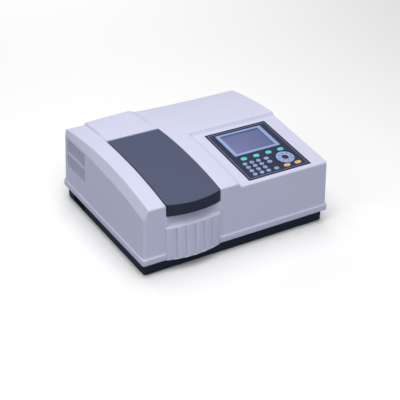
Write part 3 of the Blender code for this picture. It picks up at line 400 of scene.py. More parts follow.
def piece(name, shape, finishes, body, stands_for=(), angle=40):
    """Turns a shape into a named object that rides on a body; faces pick from finishes by index."""
    mesh = bpy.data.meshes.new(name)
    shape.to_mesh(mesh)
    shape.free()
    made = add_object(name, mesh)
    for finish in finishes.split():
        mesh.materials.append(materials[finish])
    mesh.shade_smooth()
    mesh.set_sharp_from_angle(angle=math.radians(angle))
    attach(made, body)
    if stands_for:
        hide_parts(*stands_for)


def merge(shapes):
    """Several shapes as one, each with its own material index."""
    whole = bmesh.new()
    for index, shape in shapes:
        for face in shape.faces:
            face.material_index = index
        held = bpy.data.meshes.new("held")
        shape.to_mesh(held)
        shape.free()
        whole.from_mesh(held)
        bpy.data.meshes.remove(held)
    return whole


def lines(marks, step):
    """Sorted marks, with the wide gaps between them divided evenly."""
    marks = sorted(set(marks))
    made = []
    for low, high in zip(marks, marks[1:]):
        count = max(1, math.ceil((high - low) / step))
        made += [low + (high - low) * k / count for k in range(count)]
    return made + [marks[-1]]


def quarter(count):
    """Angles from 0 to a quarter turn."""
    return [math.pi / 2 * k / count for k in range(count + 1)]


def crowd(edge, radius, side, count=5):
    """Marks that crowd towards an edge that has a rounding of this radius on its given side."""
    return [edge + side * radius * (1 - math.cos(angle)) for angle in quarter(count)]


def border(wide, deep):
    """Index pairs once round the edge of a grid."""
    around = [(i, 0) for i in range(wide - 1)]
    around += [(wide - 1, j) for j in range(deep - 1)]
    around += [(i, deep - 1) for i in range(wide - 1, 0, -1)]
    return around + [(0, j) for j in range(deep - 1, 0, -1)]


def bridge(shape, upper, lower, skip=()):
    """Quads between two rings; skip holds the places left open."""
    for k, corner in enumerate(upper):
        after = (k + 1) % len(upper)
        if k not in skip:
            shape.faces.new((corner, upper[after], lower[after], lower[k]))


def shell(outer, inner, outside, inside, holes=(), windows=()):
    """Closed double skin: two grids, the rings that lead down from them, and openings through both.

    A hole is a pair of index ranges of grid cells.  A window is a range of rings and a set of
    places round them.
    """
    shape = bmesh.new()
    skins = []
    stacks = []
    around = border(len(outer), len(outer[0]))
    for grid, rings in ((outer, outside), (inner, inside)):
        skin = [[shape.verts.new(point) for point in column] for column in grid]
        stack = [[skin[i][j] for i, j in around]]
        stack += [[shape.verts.new(point) for point in ring] for ring in rings]
        skins.append(skin)
        stacks.append(stack)
    cells = {(i, j) for wide, deep in holes for i in range(*wide) for j in range(*deep)}
    for skin in skins:
        for i in range(len(outer) - 1):
            for j in range(len(outer[0]) - 1):
                if (i, j) not in cells:
                    shape.faces.new((skin[i][j], skin[i + 1][j], skin[i + 1][j + 1], skin[i][j + 1]))
    frame_hole(shape, skins, cells)
    open_at = {}
    for levels, places in windows:
        for level in range(*levels):
            open_at.setdefault(level, set()).update(places)
    for stack in stacks:
        for level in range(len(stack) - 1):
            bridge(shape, stack[level], stack[level + 1], open_at.get(level, ()))
    bridge(shape, stacks[0][-1], stacks[1][-1])
    for levels, places in windows:
        frame_window(shape, stacks, levels, places, len(around))
    bmesh.ops.recalc_face_normals(shape, faces=shape.faces)
    return shape


def frame_hole(shape, skins, cells):
    """The reveals between two grids round a set of open cells."""
    top, ceiling = skins
    for i, j in cells:
        for (a, b), (c, d), beside in (
            ((i, j), (i + 1, j), (i, j - 1)),
            ((i + 1, j), (i + 1, j + 1), (i + 1, j)),
            ((i + 1, j + 1), (i, j + 1), (i, j + 1)),
            ((i, j + 1), (i, j), (i - 1, j)),
        ):
            if beside not in cells:
                shape.faces.new((top[a][b], top[c][d], ceiling[c][d], ceiling[a][b]))


def frame_window(shape, stacks, levels, places, total):
    """The four reveals of a window through both skins."""
    first, last = levels
    for k in places:
        after = (k + 1) % total
        for level in (first, last):
            ends = [stack[level][n] for stack in stacks for n in (k, after)]
            shape.faces.new((ends[0], ends[1], ends[3], ends[2]))
        for edge, beside in ((k, (k - 1) % total), (after, after)):
            if beside not in places:
                for level in range(first, last):
                    ends = [stack[n][edge] for stack in stacks for n in (level, level + 1)]
                    shape.faces.new((ends[0], ends[1], ends[3], ends[2]))


def loft(loops, closed=True):
    """Body through a list of loops that have the same number of points."""
    shape = bmesh.new()
    rings = [[shape.verts.new(point) for point in loop] for loop in loops]
    for low, high in zip(rings, rings[1:]):
        bridge(shape, low, high)
    if closed:
        shape.faces.new(rings[0])
        shape.faces.new(rings[-1])
    bmesh.ops.recalc_face_normals(shape, faces=shape.faces)
    return shape


def turns(count):
    """Angles spread evenly over a whole turn."""
    return [math.tau * k / count for k in range(count)]


def turned(profile, segments, place=Matrix(), stretch=0.0):
    """Solid of revolution about local z; stretch makes it an oval that is longer along local x."""
    loops = []
    for radius, height in profile:
        loop = []
        for angle in turns(segments):
            aside = math.copysign(stretch, math.cos(angle)) if stretch else 0.0
            point = (radius * math.cos(angle) + aside, radius * math.sin(angle), height)
            loop.append(place @ Vector(point))
        loops.append(loop)
    return loft(loops)


def turned_ring(profile, segments, place):
    """Ring about local z, from a profile that runs once round its section."""
    loops = []
    for radius, height in profile + profile[:1]:
        points = [(radius * math.cos(angle), radius * math.sin(angle), height) for angle in turns(segments)]
        loops.append([place @ Vector(point) for point in points])
    body = loft(loops, closed=False)
    bmesh.ops.remove_doubles(body, verts=body.verts, dist=1e-7)
    bmesh.ops.recalc_face_normals(body, faces=body.faces)
    return body


def rounded_end(radius, top, edge, steps=4):
    """Profile points of a rounding from the side of a turned piece over onto its top."""
    angles = quarter(steps)
    return [(radius - edge * (1 - math.cos(a)), top - edge * (1 - math.sin(a))) for a in angles]


def rounded_box(low, high, edge, place=Matrix(), steps=2):
    """Box between two corners with all of its edges rounded."""
    shape = bmesh.new()
    bmesh.ops.create_cube(shape, size=1.0)
    size = Vector(high) - Vector(low)
    middle = (Vector(high) + Vector(low)) / 2
    for vert in shape.verts:
        vert.co = Vector(c * s for c, s in zip(vert.co, size)) + middle
    rounding = {"offset": edge, "segments": steps, "profile": 0.5, "clamp_overlap": True}
    bmesh.ops.bevel(shape, geom=list(shape.edges), affect="EDGES", **rounding)
    bmesh.ops.transform(shape, matrix=place, verts=shape.verts)
    return shape


def outline_box(low, high, radius, steps=5):
    """Rectangle with round corners, counter-clockwise."""
    loop = []
    corners = ((high[0], high[1]), (low[0], high[1]), (low[0], low[1]), (high[0], low[1]))
    for quarter, (x, y) in enumerate(corners):
        cx = x - math.copysign(radius, x - (low[0] + high[0]) / 2)
        cy = y - math.copysign(radius, y - (low[1] + high[1]) / 2)
        for k in range(steps + 1):
            angle = math.pi / 2 * (quarter + k / steps)
            loop.append((cx + radius * math.cos(angle), cy + radius * math.sin(angle)))
    return loop


def outline_oval(x, y, long, short, count=32):
    loop = []
    for k in range(count):
        angle = math.tau * (k + 0.5) / count
        aside = math.copysign(long - short, math.cos(angle))
        loop.append((x + aside + short * math.cos(angle), y + short * math.sin(angle)))
    return loop


def plate(outline, holes, low, high, edge, place):
    """Flat plate with holes and rounded rims, from a filled curve."""
    curve = bpy.data.curves.new("plate", "CURVE")
    curve.dimensions = "2D"
    curve.fill_mode = "BOTH"
    curve.extrude = (high - low) / 2 - edge
    curve.bevel_depth = edge
    curve.bevel_resolution = 2
    curve.offset = -edge
    for loop in [outline] + [hole[::-1] for hole in holes]:
        spline = curve.splines.new("POLY")
        spline.points.add(len(loop) - 1)
        for point, (x, y) in zip(spline.points, loop):
            point.co = (x, y, 0.0, 1.0)
        spline.use_cyclic_u = True
    shape = curve_shape(curve, place @ Matrix.Translation((0, 0, (low + high) / 2)))
    bmesh.ops.recalc_face_normals(shape, faces=shape.faces)
    return shape


def curve_shape(curve, place):
    """The mesh that a curve makes, put in its place; the curve itself is used up."""
    held = add_object("held", curve)
    bpy.context.view_layer.update()
    mesh = bpy.data.meshes.new_from_object(held.evaluated_get(bpy.context.evaluated_depsgraph_get()))
    bpy.data.objects.remove(held)
    bpy.data.curves.remove(curve)
    shape = bmesh.new()
    shape.from_mesh(mesh)
    bpy.data.meshes.remove(mesh)
    bmesh.ops.remove_doubles(shape, verts=shape.verts, dist=1e-6)
    bmesh.ops.transform(shape, matrix=place, verts=shape.verts)
    return shape


# ---- the case's surfaces
def arc_z(y):
    return ARC_Z - ARC_RADIUS + math.sqrt(ARC_RADIUS ** 2 - (y - ARC_Y) ** 2)


def platform_z(y):
    return PLATFORM_FRONT_Z + math.tan(PLATFORM_ANGLE) * (y - TOP[2])


def panel_place(u=0.0, v=0.0, n=0.0):
    """Frame on the control platform: local x is u, local y is v and local z is n."""
    tilt = Matrix.Rotation(PLATFORM_ANGLE, 4, "X")
    return Matrix.Translation((0, TOP[2], PLATFORM_FRONT_Z)) @ tilt @ Matrix.Translation((u, v, n))


def panel_y(v):
    return panel_place(0.0, v).translation.y


def edge_drop(distance, radius):
    inside = min(max(radius - distance, 0.0), radius)
    return radius - math.sqrt(radius ** 2 - inside ** 2)


def ease(value, low, high):
    share = min(max((value - low) / (high - low), 0.0), 1.0)
    return share * share * (3 - 2 * share)


def toward_back(y, ends):
    return ends[0] + (ends[1] - ends[0]) * max(y, 0.0) / TOP[3]


def shoulder_drop(x, y):
    """Sloping facet along the left edge, with a softened crease at its top."""
    run = toward_back(y, SHOULDER_RUN)
    reach = run - (x - TOP[0])
    if abs(reach) < CREASE_SOFT:
        reach = (reach + CREASE_SOFT) ** 2 / (4 * CREASE_SOFT)
    return toward_back(y, SHOULDER_FALL) * max(reach, 0.0) / run


def along_shoulder(x, y):
    """Moves a column of the grid sideways so that the columns follow the shoulder's crease."""
    run = toward_back(y, SHOULDER_RUN)
    wide = SHOULDER_RUN[0]
    if x <= TOP[0] + wide:
        return TOP[0] + (x - TOP[0]) * run / wide
    inner = BAY_LEFT - LIP_EDGE
    if x < inner:
        return inner - (inner - x) * (inner - TOP[0] - run) / (inner - TOP[0] - wide)
    return x


def in_rebate(x, y):
    across = PANEL_LOW[0] - REBATE_GAP < x < PANEL_HIGH[0] + REBATE_GAP
    return across and panel_y(PANEL_LOW[1]) - REBATE_GAP < y < panel_y(PANEL_HIGH[1]) + REBATE_GAP


def back_run(y):
    """How far y is from the front of the lamp cover to the back of the case, from 0 to 1."""
    return max(y - COVER_FRONT, 0.0) / (TOP[3] - COVER_FRONT)


def deck_rise(x, y):
    """Slight lift of the deck beside the lamp cover, towards the back."""
    aside = min(max(x - BAY_RIGHT, 0.0) / DECK_REACH, 1.0)
    return DECK_RISE * back_run(y) * (1 - aside) ** 2


def cover_z(x, y):
    """Outer skin of the main cover."""
    crown = arc_z(y)
    if BAY_LEFT < x < BAY_RIGHT:
        return crown - (COVER_SEAT if y > COVER_FRONT else LID_SEAT)
    if x <= BAY_LEFT:
        height = crown + toward_back(y, LEFT_STRIP_RISE) - shoulder_drop(x, y)
        lip = edge_drop(BAY_LEFT - x, LIP_EDGE) if y < COVER_FRONT else 0.0
    else:
        sunk = ease(x, *STEP) * (1 - ease(y, *CREASE))
        height = crown + (platform_z(y) - crown) * sunk + deck_rise(x, y)
        lip = edge_drop(x - BAY_RIGHT, LIP_EDGE)
        if in_rebate(x, y):
            height -= PANEL_REBATE
    ends = edge_drop(y - TOP[2], FRONT_EDGE) + edge_drop(TOP[3] - y, FRONT_EDGE)
    side = edge_drop(TOP[1] - x, SIDE_EDGE)
    return height - max(lip, ends, side)


def core_z(x, y):
    """Inner skin: one wall below the lowest outer skin within reach."""
    reach = (-WALL, 0.0, WALL)
    return min(cover_z(x + a, y + b) for a in reach for b in reach) - WALL


def hump_z(x, y):
    climb = min((x - BAY_LEFT) / (HUMP_RIGHT - BAY_LEFT), 1.0)
    rise = HUMP_RISE[0] + (HUMP_RISE[1] - HUMP_RISE[0]) * climb
    fall = ease(x, HUMP_RIGHT, BAY_RIGHT)
    return arc_z(y) + HUMP_STEP + back_run(y) * rise * (1 - fall) + deck_rise(BAY_RIGHT, y) * fall


# ---- main cover
def grown(plan, amount):
    left, right, front, back = plan
    return (left - amount, right + amount, front - amount, back + amount)


def onto(x, y, plan):
    """A point of the top's plan carried over to another plan, with its corners rounded."""
    left, right, front, back = plan
    x = left + (x - TOP[0]) * (right - left) / (TOP[1] - TOP[0])
    y = front + (y - TOP[2]) * (back - front) / (TOP[3] - TOP[2])
    a = x - min(max(x, left + CORNER), right - CORNER)
    b = y - min(max(y, front + CORNER), back - CORNER)
    if a == 0 or b == 0:
        return x, y
    pull = max(abs(a), abs(b)) / math.hypot(a, b) - 1
    return x + a * pull, y + b * pull


def in_bay(x):
    return BAY_LEFT < x < BAY_RIGHT


def carried(x, plan, share):
    """Where a column of the top's plan has got to on its way out to another plan."""
    return x + (onto(x, 0.0, plan)[0] - x) * share


def bay_shift(x, z, plan, share):
    """Keeps the sides of the front bay upright: the lid's width above the cheeks, the fascia's below."""
    low, high = BAY_LEFT, BAY_RIGHT
    if z <= CHEEK_TOP:
        low, high = fascia_low.x - NOTCH_GAP, fascia_high.x + NOTCH_GAP
    left = low - carried(BAY_LEFT, plan, share)
    right = high - carried(BAY_RIGHT, plan, share)
    if x < BAY_LEFT:
        return left * ease(x, TOP[0] + BAY_FADE[0], BAY_LEFT)
    if x > BAY_RIGHT:
        return right * (1 - ease(x, BAY_RIGHT, BAY_RIGHT + BAY_FADE[1]))
    return left + (right - left) * (x - BAY_LEFT) / (BAY_RIGHT - BAY_LEFT)


def cover_columns():
    crease = TOP[0] + SHOULDER_RUN[0]
    marks = crowd(TOP[0], CORNER, 1, 6) + [crease + CREASE_SOFT * k / 3 for k in range(-4, 5, 2)]
    marks += crowd(BAY_LEFT, LIP_EDGE, -1, 4) + [BAY_LEFT + HAIR, BAY_RIGHT - HAIR]
    marks += crowd(BAY_RIGHT, LIP_EDGE, 1, 4) + crowd(TOP[1], CORNER, -1, 6)
    marks += [tub_low.x - OPENING_MARGIN, tub_high.x + OPENING_MARGIN]
    marks += [STEP[0] + (STEP[1] - STEP[0]) * k / 8 for k in range(9)]
    for edge, side in ((PANEL_LOW[0], -1), (PANEL_HIGH[0], 1)):
        marks += [edge + side * gap for gap in (REBATE_GAP, REBATE_STEP, -PANEL_LEDGE)]
    marks += [FAN_X - FAN_WINDOW, FAN_X + FAN_WINDOW]
    return lines(marks, GRID_STEP)


def cover_stations():
    marks = crowd(TOP[2], CORNER, 1, 6) + crowd(TOP[3], CORNER, -1, 6)
    marks += [tub_low.y - OPENING_MARGIN, tub_high.y + OPENING_MARGIN, COVER_FRONT, COVER_FRONT + HAIR]
    marks += [CREASE[0] + (CREASE[1] - CREASE[0]) * k / 8 for k in range(9)] + list(VENT_Y)
    for edge, side in ((panel_y(PANEL_LOW[1]), -1), (panel_y(PANEL_HIGH[1]), 1)):
        marks += [edge + side * gap for gap in (REBATE_GAP, REBATE_STEP, -PANEL_LEDGE)]
    return lines(marks, GRID_STEP)


def bay_y(x, y, wall_y):
    """In the bay the front rows of the skin are pushed back behind the lid's lip."""
    limit = tub_low.y - OPENING_MARGIN
    if not in_bay(x) or y >= limit:
        return y
    return wall_y + (y - TOP[2]) * (limit - wall_y) / (limit - TOP[2])


def cover_rings(points, around, plan_low, levels, skin_y):
    """Rings of a wall that leans from the edge of a grid to plan_low at the top of the rim."""
    rings = []
    for order, level in enumerate(levels):
        ring = []
        for (x, y, z), (i, j, gx, gy) in zip(points, around):
            height = min(level, z - RING_GAP * (order + 1))
            share = (z - height) / (z - RIM_TOP)
            fx, fy = onto(gx, gy, plan_low)
            px = x + (fx - x) * share + bay_shift(gx, height, plan_low, share)
            py = y + (fy - y) * share
            if in_bay(gx) and j == 0:
                py = skin_y
            ring.append((px, py, height))
        rings.append(ring)
    return rings


def flat_ring(around, plan, z, skin_y):
    ring = []
    for i, j, gx, gy in around:
        x, y = onto(gx, gy, plan)
        x += bay_shift(gx, z, plan, 1.0)
        if in_bay(gx) and j == 0:
            y = skin_y
        ring.append((x, y, z))
    return ring


def rim_profile():
    """Growth from the rim's plan and height: a cove from the wall out to the rim, then down its face."""
    made = []
    for angle in quarter(7):
        grow = -RIM_STEP + (RIM_STEP - RIM_EDGE) * (1 - math.cos(angle))
        made.append((grow, RIM_TOP + RIM_COVE * (1 - math.sin(angle))))
    for angle in quarter(3)[1:]:
        made.append((-RIM_EDGE * (1 - math.sin(angle)), RIM_TOP - RIM_EDGE * (1 - math.cos(angle))))
    return made + [(0.0, RIM_BOTTOM + 0.0007), (-0.0002, RIM_BOTTOM + 0.0002), (-0.0007, RIM_BOTTOM)]


def index_range(values, low, high):
    """First and last index of the sorted values that lie between two marks."""
    hits = [k for k, value in enumerate(values) if low - 1e-6 <= value <= high + 1e-6]
    return hits[0], hits[-1]


def wall_places(around, test):
    """Places round the wall whose two ends both pass a test."""
    hits = set()
    for k, here in enumerate(around):
        if test(here) and test(around[(k + 1) % len(around)]):
            hits.add(k)
    return hits


def cover_skin(columns, stations, plan, wall_y, height):
    """Grid of points over the top; height takes the place in the grid and the y it has moved to."""
    grid = []
    for column in columns:
        points = []
        for gy in stations:
            gx = along_shoulder(column, gy)
            x, y = onto(gx, gy, plan)
            y = bay_y(gx, y, wall_y)
            points.append((x, y, height(gx, gy, y)))
        grid.append(points)
    return grid


def cover_outside(around, edge):
    """Rings down the outer wall, over the cove and the rim."""
    rings = cover_rings(edge, around, grown(RIM, -RIM_STEP), WALL_LEVELS, BAY_FRONT)
    return rings + [flat_ring(around, grown(RIM, grow), z, BAY_FRONT) for grow, z in rim_profile()]


def cover_inside(around, edge):
    """Rings down the inner wall, in to the tray and out again to the rim's foot."""
    wall = grown(RIM, -RIM_STEP - WALL)
    rings = cover_rings(edge, around, wall, WALL_LEVELS, BAY_INNER)
    inlet = grown(TRAY, -0.001)
    seat = grown(TRAY, 0.0006)
    foot = grown(RIM, -WALL)
    steps = [(wall, INNER_LEDGE_Z), (inlet, INNER_LEDGE_Z), (inlet, TRAY_TOP + SEAT_GAP)]
    steps += [(seat, TRAY_TOP + SEAT_GAP), (seat, TRAY_SEAT_Z), (foot, TRAY_SEAT_Z), (foot, RIM_BOTTOM)]
    return rings + [flat_ring(around, plan, z, BAY_INNER) for plan, z in steps]


def cover_holes(columns, stations):
    """Openings through the top for the sample tub and for the control panel."""
    tub_x = (tub_low.x - OPENING_MARGIN, tub_high.x + OPENING_MARGIN)
    tub_y = (tub_low.y - OPENING_MARGIN, tub_high.y + OPENING_MARGIN)
    panel_x = (PANEL_LOW[0] + PANEL_LEDGE, PANEL_HIGH[0] - PANEL_LEDGE)
    panel_run = (panel_y(PANEL_LOW[1]) + PANEL_LEDGE, panel_y(PANEL_HIGH[1]) - PANEL_LEDGE)
    spans = ((tub_x, tub_y), (panel_x, panel_run))
    return [(index_range(columns, *wide), index_range(stations, *deep)) for wide, deep in spans]


def cover_windows(around, last):
    """Openings through the walls for the vents on the left and for the fan at the back."""
    vent = wall_places(around, lambda at: at[0] == 0 and VENT_Y[0] - 1e-6 <= at[3] <= VENT_Y[1] + 1e-6)
    fan = wall_places(around, lambda at: at[1] == last and abs(at[2] - FAN_X) <= FAN_WINDOW + 1e-6)
    level = {z: k + 1 for k, z in enumerate(WALL_LEVELS)}
    windows = [((level[high], level[low]), vent) for low, high in VENT_Z]
    return windows + [((level[FAN_Z + FAN_WINDOW], level[FAN_Z - FAN_WINDOW]), fan)]


def make_main_cover():
    columns = cover_columns()
    stations = cover_stations()
    outer = cover_skin(columns, stations, TOP, BAY_FRONT, lambda gx, gy, y: cover_z(gx, y))
    inner = cover_skin(columns, stations, grown(TOP, -WALL), BAY_INNER, lambda gx, gy, y: core_z(gx, gy))
    edges = border(len(columns), len(stations))
    around = [(i, j, along_shoulder(columns[i], stations[j]), stations[j]) for i, j in edges]
    outside = cover_outside(around, [outer[i][j] for i, j in edges])
    inside = cover_inside(around, [inner[i][j] for i, j in edges])
    holes = cover_holes(columns, stations)
    windows = cover_windows(around, len(stations) - 1)
    shape = shell(outer, inner, outside, inside, holes, windows)
    piece("case_cover", shape, "case_white", "case", ["main_cover"], angle=32)


def hump_top(x, y):
    """Face of the lamp cover, rounded off at its four edges."""
    share = ease(y, HUMP_FRONT, HUMP_FRONT + HUMP_BLEND)
    left = edge_drop(x - HUMP_LEFT, HUMP_SIDE) * share + edge_drop(x - HUMP_LEFT, HUMP_EDGE) * (1 - share)
    right = edge_drop(min(HUMP_END - x, y - HUMP_FRONT), HUMP_EDGE)
    return hump_z(x, y) - max(left, right, edge_drop(TOP[3] - y, HUMP_BACK_EDGE))


def hump_seat(x, y):
    """Underside of the lamp cover, just above its seat in the main cover."""
    return arc_z(y) - COVER_SEAT + SEAT_GAP - edge_drop(TOP[3] - y, FRONT_EDGE)


def make_lamp_cover():
    """Raised cover behind the lid, closed below."""
    columns = crowd(HUMP_LEFT, HUMP_SIDE, 1, 8) + crowd(HUMP_LEFT, HUMP_EDGE, 1)
    columns += crowd(HUMP_END, HUMP_EDGE, -1) + [HUMP_RIGHT, HUMP_RIGHT + 0.005]
    columns = lines(columns, 0.006)
    stations = lines(crowd(HUMP_FRONT, HUMP_EDGE, 1) + crowd(TOP[3], HUMP_BACK_EDGE, -1, 6), GRID_STEP)
    upper = [[(x, y, hump_top(x, y)) for y in stations] for x in columns]
    lower = [[(x, y, hump_seat(x, y)) for y in stations] for x in columns]
    shape = shell(upper, lower, [], [])
    piece("lamp_hump", shape, "case_white", "case", ["lamp_cover"], angle=32)


# ---- lid
def lid_plan(x, inset):
    """Front and back of the lid at x, for a skin that lies inset inside its outline."""
    half = (LID_RIGHT - LID_LEFT) / 2
    aside = abs(x - (LID_RIGHT + LID_LEFT) / 2)
    front = TOP[2] - FRONT_BULGE * (1 - min(aside / half, 1.0) ** 2) + inset
    back = HINGE_Y + HINGE_RADIUS - inset
    distance = half - inset - aside
    front += edge_drop(distance, LID_FRONT_CORNER - inset)
    back -= edge_drop(distance, LID_REAR_CORNER - inset)
    return front, back


def lid_top(y):
    """The arc, running over onto the round of the hinge knuckle at the back."""
    if y <= HINGE_Y:
        return arc_z(y)
    fall = math.sqrt(max(HINGE_RADIUS ** 2 - (y - HINGE_Y) ** 2, 0.0))
    return min(HINGE_Z + fall, arc_z(y))


def lid_grid(columns, shares, inset):
    """Skin of the lid's top, lying inset inside its outline and as far below its face."""
    half = (LID_RIGHT - LID_LEFT) / 2
    middle = (LID_RIGHT + LID_LEFT) / 2
    grid = []
    for gx in columns:
        x = middle + (gx - middle) * (half - inset) / half
        ahead, behind = lid_plan(x, inset)
        points = []
        for share in shares:
            y = ahead + (behind - ahead) * share
            drop = edge_drop(min(half - inset - abs(x - middle), y - ahead), LID_EDGE)
            points.append((x, y, lid_top(min(y, HINGE_Y + HINGE_RADIUS)) - inset - drop))
        grid.append(points)
    return grid


def lid_skirt(grid):
    """Rings down from the edge of one skin to the foot of the lid's side."""
    around = border(len(grid), len(grid[0]))
    rings = []
    for share in SKIRT_SHARES:
        ring = []
        for i, j in around:
            x, y, z = grid[i][j]
            foot = lid_foot(y, j == len(grid[0]) - 1)
            ring.append((x, y, min(z + (foot - z) * share, z - SKIRT_GAP * (1 + share))))
        rings.append(ring)
    return rings


def make_lid():
    outline = crowd(LID_LEFT, LID_FRONT_CORNER, 1, 8) + crowd(LID_RIGHT, LID_FRONT_CORNER, -1, 8)
    columns = lines(outline, 0.007)
    rear = [1 - KNUCKLE_SHARE * (1 - math.sin(angle)) for angle in quarter(6)]
    front = [LIP_SHARE * (1 - math.cos(angle)) for angle in quarter(4)]
    shares = {share for share in lines([0.0, 1.0], 1 / 44) if 0.012 < share < 0.960}
    shares = sorted(shares | set(rear) | set(front))
    outer = lid_grid(columns, shares, 0.0)
    inner = lid_grid(columns, shares, LID_SKIN)
    shape = shell(outer, inner, lid_skirt(outer), lid_skirt(inner))
    for face in shape.faces:
        # faces that don't face up take the darker lid finish: painted shade on the lid's lip and sides
        face.material_index = int(face.normal.z < 0.5)
    piece("lid_shell", shape, "lid_grey lid_dark", "lid", ["sample_lid"], angle=38)


def lid_foot(y, at_back):
    """Lower edge of the lid's skirt: deep at the front lip, shallow along the sides."""
    if at_back:
        return HINGE_Z - 0.0035
    if y < LID_LIP_BACK:
        return lid_low.z
    return arc_z(y) - LID_SKIRT


def make_lid_liner():
    """Ribbed black inner panel that closes the lid over the sample compartment."""
    low = (tub_low.x + LINER_INSET, tub_low.y + LINER_INSET)
    high = (tub_high.x - LINER_INSET, tub_high.y - LINER_INSET)
    columns = lines([low[0], high[0]], 0.012)
    stations = lines([low[1], high[1]], 0.012)
    upper = [[(x, y, arc_z(y) - LID_SKIN - 0.0002) for y in stations] for x in columns]
    lower = [[(x, y, arc_z(y) - LID_SKIN - 0.0016) for y in stations] for x in columns]
    shapes = [(0, shell(upper, lower, [], []))]
    first, last = low[1] + 0.018, high[1] - 0.018
    for k in range(LINER_BARS):
        y = first + (last - first) * k / (LINER_BARS - 1)
        z = arc_z(y) - LID_SKIN - 0.0012
        ends = ((low[0] + 0.004, y - 0.0012, z - 0.0042), (high[0] - 0.004, y + 0.0012, z))
        shapes.append((0, rounded_box(*ends, 0.0004)))
    piece("lid_liner", merge(shapes), "compartment_black", "lid")


# ---- fascia
def fascia_groove(x):
    """Depth below the smooth face: steep on a groove's left, gentle on its right, then a slow fall."""
    across = (x - fascia_middle) / RIB_PITCH
    nearest = round(across)
    if abs(nearest) > RIB_GROOVES // 2:
        return 0.0
    away = (across - nearest) * RIB_PITCH
    if away < 0:
        slope = RIB_SLOPE * (0.5 + away / RIB_PITCH) * 2
        return max(slope, GROOVE_DEPTH * (1 - ease(-away, 0.0, GROOVE_LEFT)))
    return GROOVE_DEPTH * (1 - ease(away, 0.0, GROOVE_RIGHT))


def front_wall_y(z):
    """Front wall of the case beside the fascia."""
    return TOP[2] + (RIM[2] + RIM_STEP - TOP[2]) * (FRONT_BROW - z) / (FRONT_BROW - RIM_TOP)


def fascia_face(foot, brow, dip, side):
    """Points up the ribbed face, from the bottom to the outer edge of the ledge."""
    face_top = LEDGE_Z - LEDGE_EDGE - LEDGE_FALL
    points = [(foot + 0.0007 + side, FASCIA_FOOT), (foot + dip + side, FASCIA_FOOT + 0.0007)]
    for k in range(1, 9):
        share = k / 8
        y = foot + (brow - foot) * share + dip * (1 - ease(share, 0.93, 1.0)) + side
        points.append((y, RIM_BOTTOM + (face_top - RIM_BOTTOM) * share))
    for k in range(1, 5):
        angle = math.pi / 2 * k / 4
        y = brow + LEDGE_EDGE * (1 - math.cos(angle)) + side * (1 - k / 4)
        points.append((y, face_top + LEDGE_EDGE * math.sin(angle)))
    return points


def fascia_cove(brow, cheek):
    """Points over the ledge and up the cove; cheek leads them to the case's wall at either end."""
    start = brow + LEDGE_EDGE + LEDGE_FLAT * (1 - cheek)
    points = []
    for angle in quarter(8):
        z = LEDGE_Z + COVE_RISE * (1 - math.cos(angle))
        cove = start + (FASCIA_WALL_Y - start) * math.sin(angle)
        points.append((cove + (front_wall_y(z) - 0.00015 - cove) * cheek, z))
    return points


def fascia_profile(x):
    """Outline of the fascia at x, from the bottom up the face, over the ledge and down the back."""
    aside = min(abs(x - fascia_middle), fascia_half)
    bulge = 1 - (aside / fascia_half) ** 2
    side = edge_drop(fascia_half - aside, FASCIA_SIDE_EDGE)
    foot = FASCIA_END_Y + (fascia_low.y - FASCIA_END_Y) * bulge
    brow = FASCIA_END_Y - BROW_BULGE * bulge
    points = fascia_face(foot, brow, fascia_groove(x), side)
    points += fascia_cove(brow, ease(aside, *CHEEK_BLEND))
    wall = points[-1][0]
    back = max(FASCIA_BACK_Y, wall + 0.002)
    inner = TRAY[2] - 0.0006
    points += [(wall + 0.0002, FASCIA_TOP - 0.0004), (wall + 0.0006, FASCIA_TOP), (back, FASCIA_TOP)]
    points += [(back, 0.064), (inner, 0.0615), (inner, FASCIA_FOOT)]
    return [(x, y, z) for y, z in points]


def make_fascia():
    marks = crowd(fascia_low.x, FASCIA_SIDE_EDGE, 1, 6) + crowd(fascia_high.x, FASCIA_SIDE_EDGE, -1, 6)
    for k in range(RIB_GROOVES):
        at = fascia_middle + RIB_PITCH * (k - RIB_GROOVES // 2)
        marks += [at - GROOVE_LEFT * s / 4 for s in range(5)]
        marks += [at + GROOVE_RIGHT * s / 7 for s in range(1, 8)]
    shape = loft([fascia_profile(x) for x in lines(marks, 0.003)])
    piece("front_ribs", shape, "case_white", "case", ["front_fascia"], angle=38)


# ---- control panel
def panel_uv(node):
    """Centre of a CAD node in the panel's plane."""
    low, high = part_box(node)
    local = panel_place().inverted() @ ((low + high) / 2)
    return local.x, local.y


def key_names():
    """Every straight key with its half sizes and finish."""
    keys = [(f"soft_key_{k + 1}", 0.0090, 0.0064, "key_green") for k in range(4)]
    keys += [(f"number_key_{k + 1}", 0.0062, 0.0058, "key_blue") for k in range(12)]
    keys += [(f"function_key_{k + 1}", 0.0070, 0.0056, "key_blue") for k in range(3)]
    return keys + [(f"run_key_{k + 1}", 0.0095, 0.0055, "key_orange") for k in range(2)]


def make_keypad_panel():
    """Printed film on a plate, with a lighter hairline inside its border."""
    holes = [outline_box(BEZEL_LOW, BEZEL_HIGH, 0.0015)]
    for name, long, short, _ in key_names():
        u, v = panel_uv(name)
        holes.append(outline_oval(u, v, long + 0.0004, short + 0.0004))
    nav_u, nav_v = panel_uv("nav_ring")
    holes.append(outline_oval(nav_u, nav_v, NAV_RADIUS + 0.0006, NAV_RADIUS + 0.0006, 64))
    film = plate(outline_box(PANEL_LOW, PANEL_HIGH, 0.0012), holes, -0.0015, 0.0, 0.00015, panel_place())
    outer, inner = (
        outline_box([c + inset for c in PANEL_LOW], [c - inset for c in PANEL_HIGH], 0.0018)
        for inset in LINE_INSETS
    )
    hairline = plate(outer, [inner], -0.0001, 0.00006, 0.00002, panel_place())
    shapes = [(0, film), (1, hairline)]
    piece("keypad_film", merge(shapes), "panel_dark panel_line", "case", ["keypad_panel"])


